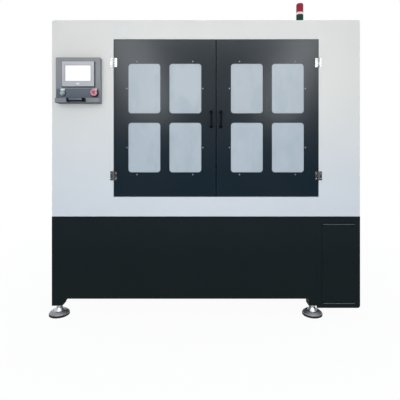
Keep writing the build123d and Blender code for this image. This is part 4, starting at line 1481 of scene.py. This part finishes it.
@dataclass
class Tower:
    """Signal tower on the roof."""

    flange_radius: float = 0.030
    flange_height: float = 0.006
    flange_step: float = 0.002
    seam_height: float = 0.0016
    seam_proud: float = 0.0006
    seam_depth: float = 0.002
    steps: int = 48

    def build(self) -> None:
        """Spins the flange on the roof and the seams between the lenses."""
        base = Room.of("tower_base")
        inner = Room.of("tower_green_lens").radius
        wide = self.flange_radius
        tall = self.flange_height
        step = self.flange_step
        outline = (
            (inner - step, 0.0), (wide, 0.0), (wide, 0.6 * tall), (wide - step, tall), (inner + step, tall),
            (inner, tall + step), (inner - step, tall + step),
        )
        Form().lathe(outline, base.foot, Axis.Z, self.steps).put("tower_flange", "cabinet", TOWER_BLACK)
        half = self.seam_height / 2
        seams = Form()
        for node in ("tower_green_lens", "tower_red_lens"):
            lens = Room.of(node)
            low = lens.radius - self.seam_depth
            high = lens.radius + self.seam_proud
            outline = ((low, -half), (high, -half), (high, half), (low, half))
            seams.lathe(outline, (base.mid.x, base.mid.y, lens.lo.z + half), Axis.Z, self.steps)
        seams.put("lens_seams", "cabinet", LENS_CLEAR)

    def dress(self) -> None:
        """Finishes the tower's CAD nodes."""
        TOWER_BLACK.dress("tower_base")
        LENS_GREEN.dress("tower_green_lens")
        LENS_CLEAR.dress("tower_band")
        LENS_RED.dress("tower_red_lens")


@dataclass(frozen=True)
class Slide:
    """One of the drilling unit's two slides: the way it runs and the bodies that it joins."""

    word: str
    along: Axis
    across: Axis
    still: str
    moving: str
    plug_proud: float

    def node(self, part: str) -> str:
        """Name of one of the slide's nodes."""
        return f"{self.along.name.lower()}_{part}"

    def room(self, part: str) -> Room:
        """Box of one of the slide's nodes."""
        return Room.of(self.node(part))

    def at(self, along: float, depth: float, across: float) -> Vector:
        """Point at a place along the slide, a depth and a place across the slide.

        Args:
            along: Place along the slide.
            depth: Place along Y.
            across: Place across the slide.

        Returns:
            The point.
        """
        point = Vector((0.0, depth, 0.0))
        point[self.along.index] = along
        point[self.across.index] = across
        return point


CROSS = Slide("cross", Axis.X, Axis.Z, still="cabinet", moving="saddle", plug_proud=0.012)
FEED = Slide("feed", Axis.Z, Axis.X, still="saddle", moving="head", plug_proud=0.018)


@dataclass
class DrillingUnit:
    """Bed, portal, cross travel, down feed and spindle inside the cabinet."""

    bolt: ScrewHead = ScrewHead(0.0055, 0.0004, 0.0025)
    bolt_inset: float = 0.03
    bolt_pitch: float = 0.08
    rail_half: float = 0.014
    bearing_width: float = 0.034
    screw_radius: float = 0.010
    thread_pitch: float = 0.010
    thread_depth: float = 0.0012
    wiper_thick: float = 0.006
    wiper_width: float = 0.060
    wiper_depth: float = 0.0150
    wiper_inset: float = 0.0008
    wiper_edge: float = 0.001
    plug_size: float = 0.026
    plug_place: float = 0.075
    plug_seat: float = 0.009
    plug_edge: float = 0.003
    fin_count: int = 9
    fin_low: float = 0.018
    fin_high: float = 0.022
    fin_root: float = 0.002
    fin_proud: float = 0.0025
    fin_foot: float = 0.003
    fin_tip: float = 0.0018
    fin_steps: int = 40
    drill_radius: float = 0.005
    drill_tip: float = 0.006
    land_pitch: float = 0.016
    land_depth: float = 0.0003
    land_turns: int = 2
    rib_count: int = 6
    rib_out: float = 0.0247
    rib_ends: tuple[float, float] = (0.072, 0.096)
    rib_radius: float = 0.0022
    rib_edge: float = 0.0005
    rib_sides: int = 10

    def build(self) -> None:
        """Builds both slides' small pieces, the spindle motor's fins and the spindle's detail."""
        for add in (self._rail_bolts, self._thread, self._wipers):
            add(CROSS)
            add(FEED)
        self._plug(FEED)
        self._plug(CROSS)
        self._fins()
        self._spindle()

    def _rail_bolts(self, slide: Slide) -> None:
        """Adds the cap screws sunk along a slide's rails.

        Args:
            slide: The slide.
        """
        rails = slide.room("rails")
        along = rails.row(slide.along, self.bolt_inset, self.bolt_pitch)
        across = rails.ends(slide.across, self.rail_half)
        places = [slide.at(place, rails.lo.y, aside) for place, aside in product(along, across)]
        bolts = self.bolt.add(Form(), places, Axis.Y, -1)
        bolts.put(slide.word + "_rail_bolts", slide.still, BEARING_BLACK)

    def _thread(self, slide: Slide) -> None:
        """Winds the thread of a slide's ball screw between its bearings.

        Args:
            slide: The slide.
        """
        low, high = slide.room("screw_bearings").ends(slide.along, self.bearing_width)
        start = slide.room("screw").mid
        start[slide.along.index] = low
        turns = int((high - low) / self.thread_pitch)
        thread = Form().thread(
            start, slide.along, self.screw_radius, self.thread_depth, self.thread_pitch, turns,
        )
        thread.put(slide.word + "_screw_thread", slide.node("screw"), RAIL_STEEL)

    def _wipers(self, slide: Slide) -> None:
        """Adds the dark wiper plates at the ends of a slide's carriages.

        Args:
            slide: The slide.
        """
        room = slide.room("carriages")
        near = room.lo.y + self.wiper_inset
        far = room.lo.y + self.wiper_depth
        start, end = room.ends(slide.along)
        low, high = room.ends(slide.across, self.wiper_inset)
        wide = self.wiper_width - 2 * self.wiper_inset
        wipers = Form()
        for place, aside in product((start - self.wiper_thick, end), (low, high - wide)):
            corner = slide.at(place, near, aside)
            wipers.block(corner, slide.at(place + self.wiper_thick, far, aside + wide), self.wiper_edge)
        wipers.put(slide.word + "_wipers", slide.moving, BEARING_BLACK)

    def _plug(self, slide: Slide) -> None:
        """Adds the plug socket of a slide's motor.

        Args:
            slide: The slide.
        """
        motor = slide.room("motor")
        size = self.plug_size
        start = motor.hi[slide.along.index] - self.plug_place
        aside = motor.mid[slide.across.index] - size / 2
        plug = Form().block(
            slide.at(start, motor.lo.y - slide.plug_proud, aside),
            slide.at(start + size, motor.lo.y + self.plug_seat, aside + size), self.plug_edge, segments=3,
        )
        plug.put(slide.word + "_motor_plug", slide.still, BEARING_BLACK)

    def _fins(self) -> None:
        """Spins the spindle motor's cooling fins."""
        motor = Room.of("spindle_motor")
        root = motor.radius - self.fin_root
        out = motor.radius + self.fin_proud
        outline = ((root, -self.fin_foot), (out, -self.fin_tip), (out, self.fin_tip), (root, self.fin_foot))
        pitch = (motor.size.z - self.fin_low - self.fin_high) / (self.fin_count - 1)
        fins = Form()
        for i in range(self.fin_count):
            place = motor.foot + Vector((0.0, 0.0, self.fin_low + i * pitch))
            fins.lathe(outline, place, Axis.Z, self.fin_steps)
        fins.put("spindle_motor_fins", "head", MOTOR_BLACK)

    def _spindle(self) -> None:
        """Adds the drill's lands and the ribs round the collet nut."""
        foot = Room.of("spindle").foot
        lands = Form()
        for rise in (self.drill_tip, self.drill_tip + self.land_pitch / 2):
            start = foot + Vector((0.0, 0.0, rise))
            lands.thread(start, Axis.Z, self.drill_radius, self.land_depth, self.land_pitch, self.land_turns)
        lands.put("drill_lands", "spindle", RAIL_STEEL)
        ribs = Form()
        for i in range(self.rib_count):
            turn = Matrix.Rotation(2 * math.pi * i / self.rib_count, 4, "Z")
            low, high = (foot + turn @ Vector((self.rib_out, 0.0, z)) for z in self.rib_ends)
            ribs.rod(low, high, self.rib_radius, self.rib_edge, self.rib_sides)
        ribs.put("collet_ribs", "spindle", HOUSING_STEEL)

    def dress(self) -> None:
        """Finishes the drilling unit's CAD nodes."""
        BED_IRON.dress("machine_bed")
        MACHINE_PAINT.dress("portal", "saddle", "head_plate")
        RAIL_STEEL.dress("x_rails", "z_rails", "x_screw", "z_screw")
        CYLINDER_ALLOY.dress("x_carriages", "z_carriages")
        BEARING_BLACK.dress("x_screw_bearings", "z_screw_bearings")
        MOTOR_BLACK.dress("x_motor", "z_motor", "spindle_motor")
        HOUSING_STEEL.dress("spindle_housing", "spindle")


@dataclass
class Fixture:
    """Bar fixture with its fence and air clamps."""

    cylinder_width: float = 0.050
    clamp_pitch: float = 0.26
    port_inset: float = 0.012
    port_heights: tuple[float, float, float] = (-0.001, 0.012, 0.020)
    nut_radius: float = 0.0055
    nut_edge: float = 0.001
    nut_sides: int = 6
    tube_radius: float = 0.0044
    tube_edge: float = 0.0008
    tube_sides: int = 16
    pad: Outline = ((0.0, -0.0004), (0.0174, -0.0004), (0.0174, 0.0015), (0.0160, 0.0028), (0.0, 0.0028))
    pad_steps: int = 28
    bolt: ScrewHead = ScrewHead(0.007, 0.006, 0.0035)
    bolt_inset: float = 0.05
    bolt_pitch: float = 0.15
    bolt_back: float = 0.025

    def build(self) -> None:
        """Adds the clamps' air ports, the pads' faces and the fence's bolts."""
        cylinders = Room.of("clamp_cylinders")
        rods = Room.of("clamp_rods")
        fixture = Room.of("fixture")
        middles = cylinders.row(Axis.X, self.cylinder_width / 2, self.clamp_pitch)
        ports = Form()
        for x, y in product(middles, cylinders.ends(Axis.Y, self.port_inset)):
            seat, shoulder, tip = (Vector((x, y, cylinders.hi.z + height)) for height in self.port_heights)
            ports.rod(seat, shoulder, self.nut_radius, self.nut_edge, self.nut_sides)
            ports.rod(shoulder, tip, self.tube_radius, self.tube_edge, self.tube_sides)
        ports.put("clamp_ports", "cabinet", BRIGHT_STEEL)
        pads = Form()
        for x in middles:
            pads.lathe(self.pad, (x, rods.hi.y, rods.mid.z), Axis.Y, self.pad_steps)
        pads.put("clamp_pad_faces", "clamp_rods", RUBBER)
        xs = fixture.row(Axis.X, self.bolt_inset, self.bolt_pitch)
        places = product(xs, [fixture.hi.y - self.bolt_back], [fixture.hi.z])
        self.bolt.add(Form(), places, Axis.Z, 1).put("fence_bolts", "cabinet", BEARING_BLACK)

    def dress(self) -> None:
        """Finishes the fixture's CAD nodes."""
        GROUND_STEEL.dress("fixture")
        CYLINDER_ALLOY.dress("clamp_cylinders")
        BRIGHT_STEEL.dress("clamp_rods")


@dataclass(frozen=True)
class SoftBox:
    """A lamp with an even, rectangular face, which the camera doesn't see."""

    name: str
    place: Point
    facing: Point
    size: tuple[float, float]
    glow: float
    tint: Colour = (1.0, 1.0, 1.0)
    roll: float = 0.0
    diffuse: bool = True
    glossy: bool = True

    def put(self) -> None:
        """Adds the lamp to the scene."""
        wide, tall = self.size
        data = bpy.data.lights.new(self.name, "AREA")
        data.shape = "RECTANGLE"
        data.size = wide
        data.size_y = tall
        data.energy = self.glow * math.pi * wide * tall
        data.color = self.tint
        lamp = bpy.data.objects.new(self.name, data)
        lamp.location = self.place
        turn = Vector(self.facing).to_track_quat("-Z", "Y") @ Quaternion(Axis.Z.value, self.roll)
        lamp.rotation_euler = turn.to_euler()
        lamp.visible_camera = False
        lamp.visible_diffuse = self.diffuse
        lamp.visible_glossy = self.glossy
        bpy.context.scene.collection.objects.link(lamp)


AHEAD = Axis.Y.value
COOL = (0.95, 0.985, 1.0)
# Boxes that the doors mirror, the front fill, the overhead box and fills for the other sides
LAMPS = (
    SoftBox("left_box", (-0.98, -3.27, 2.26), AHEAD, (0.48, 1.75), 8.4, COOL, roll=0.42, diffuse=False),
    SoftBox("right_box", (1.28, -3.27, 2.26), AHEAD, (0.48, 1.75), 8.4, COOL, roll=-0.42, diffuse=False),
    SoftBox("top_strip", (0.15, -3.27, 2.62), AHEAD, (1.9, 0.26), 5.0, COOL, diffuse=False),
    SoftBox("front_fill", (0.0, -3.4, 1.5), AHEAD, (3.2, 2.2), 2.25, (0.98, 0.99, 1.0), glossy=False),
    SoftBox("overhead_box", (0.0, 0.2, 4.6), (0.0, 0.0, -1.0), (2.6, 2.0), 1.7),
    SoftBox("left_fill", (-4.0, 0.4, 1.8), (4.0, -0.4, -1.8), (2.2, 2.2), 3.4, glossy=False),
    SoftBox("right_fill", (4.0, 0.4, 1.8), (-4.0, -0.4, -1.8), (2.2, 2.2), 3.4, glossy=False),
    SoftBox("back_fill", (0.0, 4.5, 1.8), (0.0, -4.5, -1.8), (2.2, 2.2), 3.4, glossy=False),
)


@dataclass
class Studio:
    """Camera at the photograph's place, soft boxes, dark card, pale floor and white background."""

    photo_px: float = 400.0
    level_px: tuple[float, float] = (205.95, 149.97)
    lens_mm: float = 33.0
    sensor_mm: float = 36.0
    distance: float = 2.2
    height: float = 1.0
    card_place: Point = (0.0, -3.6, 0.67)
    card_half: tuple[float, float] = (4.0, 0.7)
    floor_half: float = 30.0
    white_near: float = 0.955
    white_span: tuple[float, float] = (1.2, 3.0)
    card_tones: tuple[Colour, Colour] = ((0.010, 0.010, 0.011), (0.016, 0.016, 0.017))
    paper_tones: tuple[Colour, Colour] = ((0.70, 0.76, 0.84), (0.64, 0.70, 0.78))
    paper_mottle: float = 0.1
    ambient: float = 0.5
    front_dim: float = 0.30
    behind_glow: float = 0.7
    above_glow: float = 0.6

    def build(self) -> None:
        """Sets up the camera, the lamps, the card, the floor and the world."""
        self._camera()
        for lamp in LAMPS:
            lamp.put()
        self._card()
        self._floor()
        self._world()
        bpy.context.scene.view_settings.view_transform = "Standard"

    def _camera(self) -> None:
        """Places the camera level in front of the cabinet."""
        front = Room.of("enclosure_front").front
        data = bpy.data.cameras.new("camera")
        data.lens = self.lens_mm
        data.sensor_width = self.sensor_mm
        data.sensor_fit = "HORIZONTAL"
        data.shift_x = 0.5 - self.level_px[0] / self.photo_px
        data.shift_y = self.level_px[1] / self.photo_px - 0.5
        camera = bpy.data.objects.new("camera", data)
        camera.location = (front.x, front.y - self.distance, self.height)
        camera.rotation_euler = (math.pi / 2, 0.0, 0.0)
        bpy.context.scene.collection.objects.link(camera)
        bpy.context.scene.camera = camera

    def _sheet(self, name: str, finish: str, place: Matrix) -> tuple[bpy.types.Object, Graph]:
        """Puts a flat sheet on the stage.

        Args:
            name: The sheet's name.
            finish: Name of its material.
            place: Matrix that lays out a square of two metres.

        Returns:
            The sheet, and its material's empty tree.
        """
        mesh = bmesh.new()
        bmesh.ops.create_grid(mesh, x_segments=1, y_segments=1, size=1.0, matrix=place)
        data = bpy.data.meshes.new(name)
        mesh.to_mesh(data)
        mesh.free()
        sheet = bpy.data.objects.new(name, data)
        bpy.context.scene.collection.objects.link(sheet)
        material = bpy.data.materials.new(finish)
        material.use_nodes = True
        data.materials.append(material)
        return sheet, Graph(material.node_tree)

    def _card(self) -> None:
        """Stands a dark card behind the camera, which only reflections see."""
        upright = Matrix.Translation(self.card_place) @ Matrix.Rotation(math.pi / 2, 4, "X")
        place = upright @ Matrix.Diagonal((*self.card_half, 1.0, 1.0))
        card, graph = self._sheet("dark_card", "card_black", place)
        card.visible_camera = False
        card.visible_diffuse = False
        card.visible_shadow = False
        card.visible_transmission = False
        graph.surface({
            "Base Color": graph.mix(graph.noise(80.0), *self.card_tones),
            "Roughness": 0.9,
            "Specular IOR Level": 0.1,
        })

    def _floor(self) -> None:
        """Lays the pale floor, which keeps the shadow and runs out to white."""
        _, graph = self._sheet("floor", "floor_paper", Matrix.Scale(self.floor_half, 4))
        away = graph.length(graph.coords).rise(*self.white_span)
        tone = graph.mix(graph.noise(30.0) * self.paper_mottle, *self.paper_tones)
        paper = graph.add("ShaderNodeBsdfDiffuse", inputs={"Color": tone})
        white = graph.add("ShaderNodeEmission", inputs={"Color": (1.0, 1.0, 1.0), "Strength": 1.0})
        seen = (graph.ray("Camera") + graph.ray("Glossy") + graph.ray("Transmission")).rise(0.0, 1.0)
        factor = seen * (self.white_near + (1 - self.white_near) * away)
        mixed = graph.add("ShaderNodeMixShader", inputs={0: factor, 1: paper, 2: white})
        graph.add("ShaderNodeOutputMaterial", inputs={"Surface": mixed})

    def _world(self) -> None:
        """Makes the world white where seen, half as bright as a light and dim in front for reflections."""
        world = bpy.data.worlds.new("studio")
        world.use_nodes = True
        bpy.context.scene.world = world
        graph = Graph(world.node_tree)
        shown = (graph.ray("Camera") + graph.ray("Transmission")).rise(0.0, 1.0)
        way = graph.add("ShaderNodeTexCoord", out="Generated")
        behind = graph.part(way, Axis.Y).rise(-0.3, 0.4)
        above = graph.part(way, Axis.Z).rise(0.25, 0.5)
        mirrored = self.behind_glow * behind + self.above_glow * above * (1 - behind) - self.front_dim
        strength = self.ambient + (1 - self.ambient) * shown + graph.ray("Glossy") * mirrored
        inputs = {"Color": (1.0, 1.0, 1.0), "Strength": strength}
        light = graph.add("ShaderNodeBackground", inputs=inputs)
        graph.add("ShaderNodeOutputWorld", inputs={"Surface": light})


def main() -> None:
    """Dresses and builds each sub-assembly, then the studio round it."""
    logging.basicConfig(level=logging.INFO, format="%(message)s")
    assemblies = (
        LevellingFeet(), Base(), Enclosure(), Door(Side.LEFT), Door(Side.RIGHT), Console(), Tower(),
        DrillingUnit(), Fixture(),
    )
    for assembly in assemblies:
        assembly.dress()
        assembly.build()
        LOG.info("%s is ready", type(assembly).__name__)
    Studio().build()


if __name__ == "__main__":
    main()
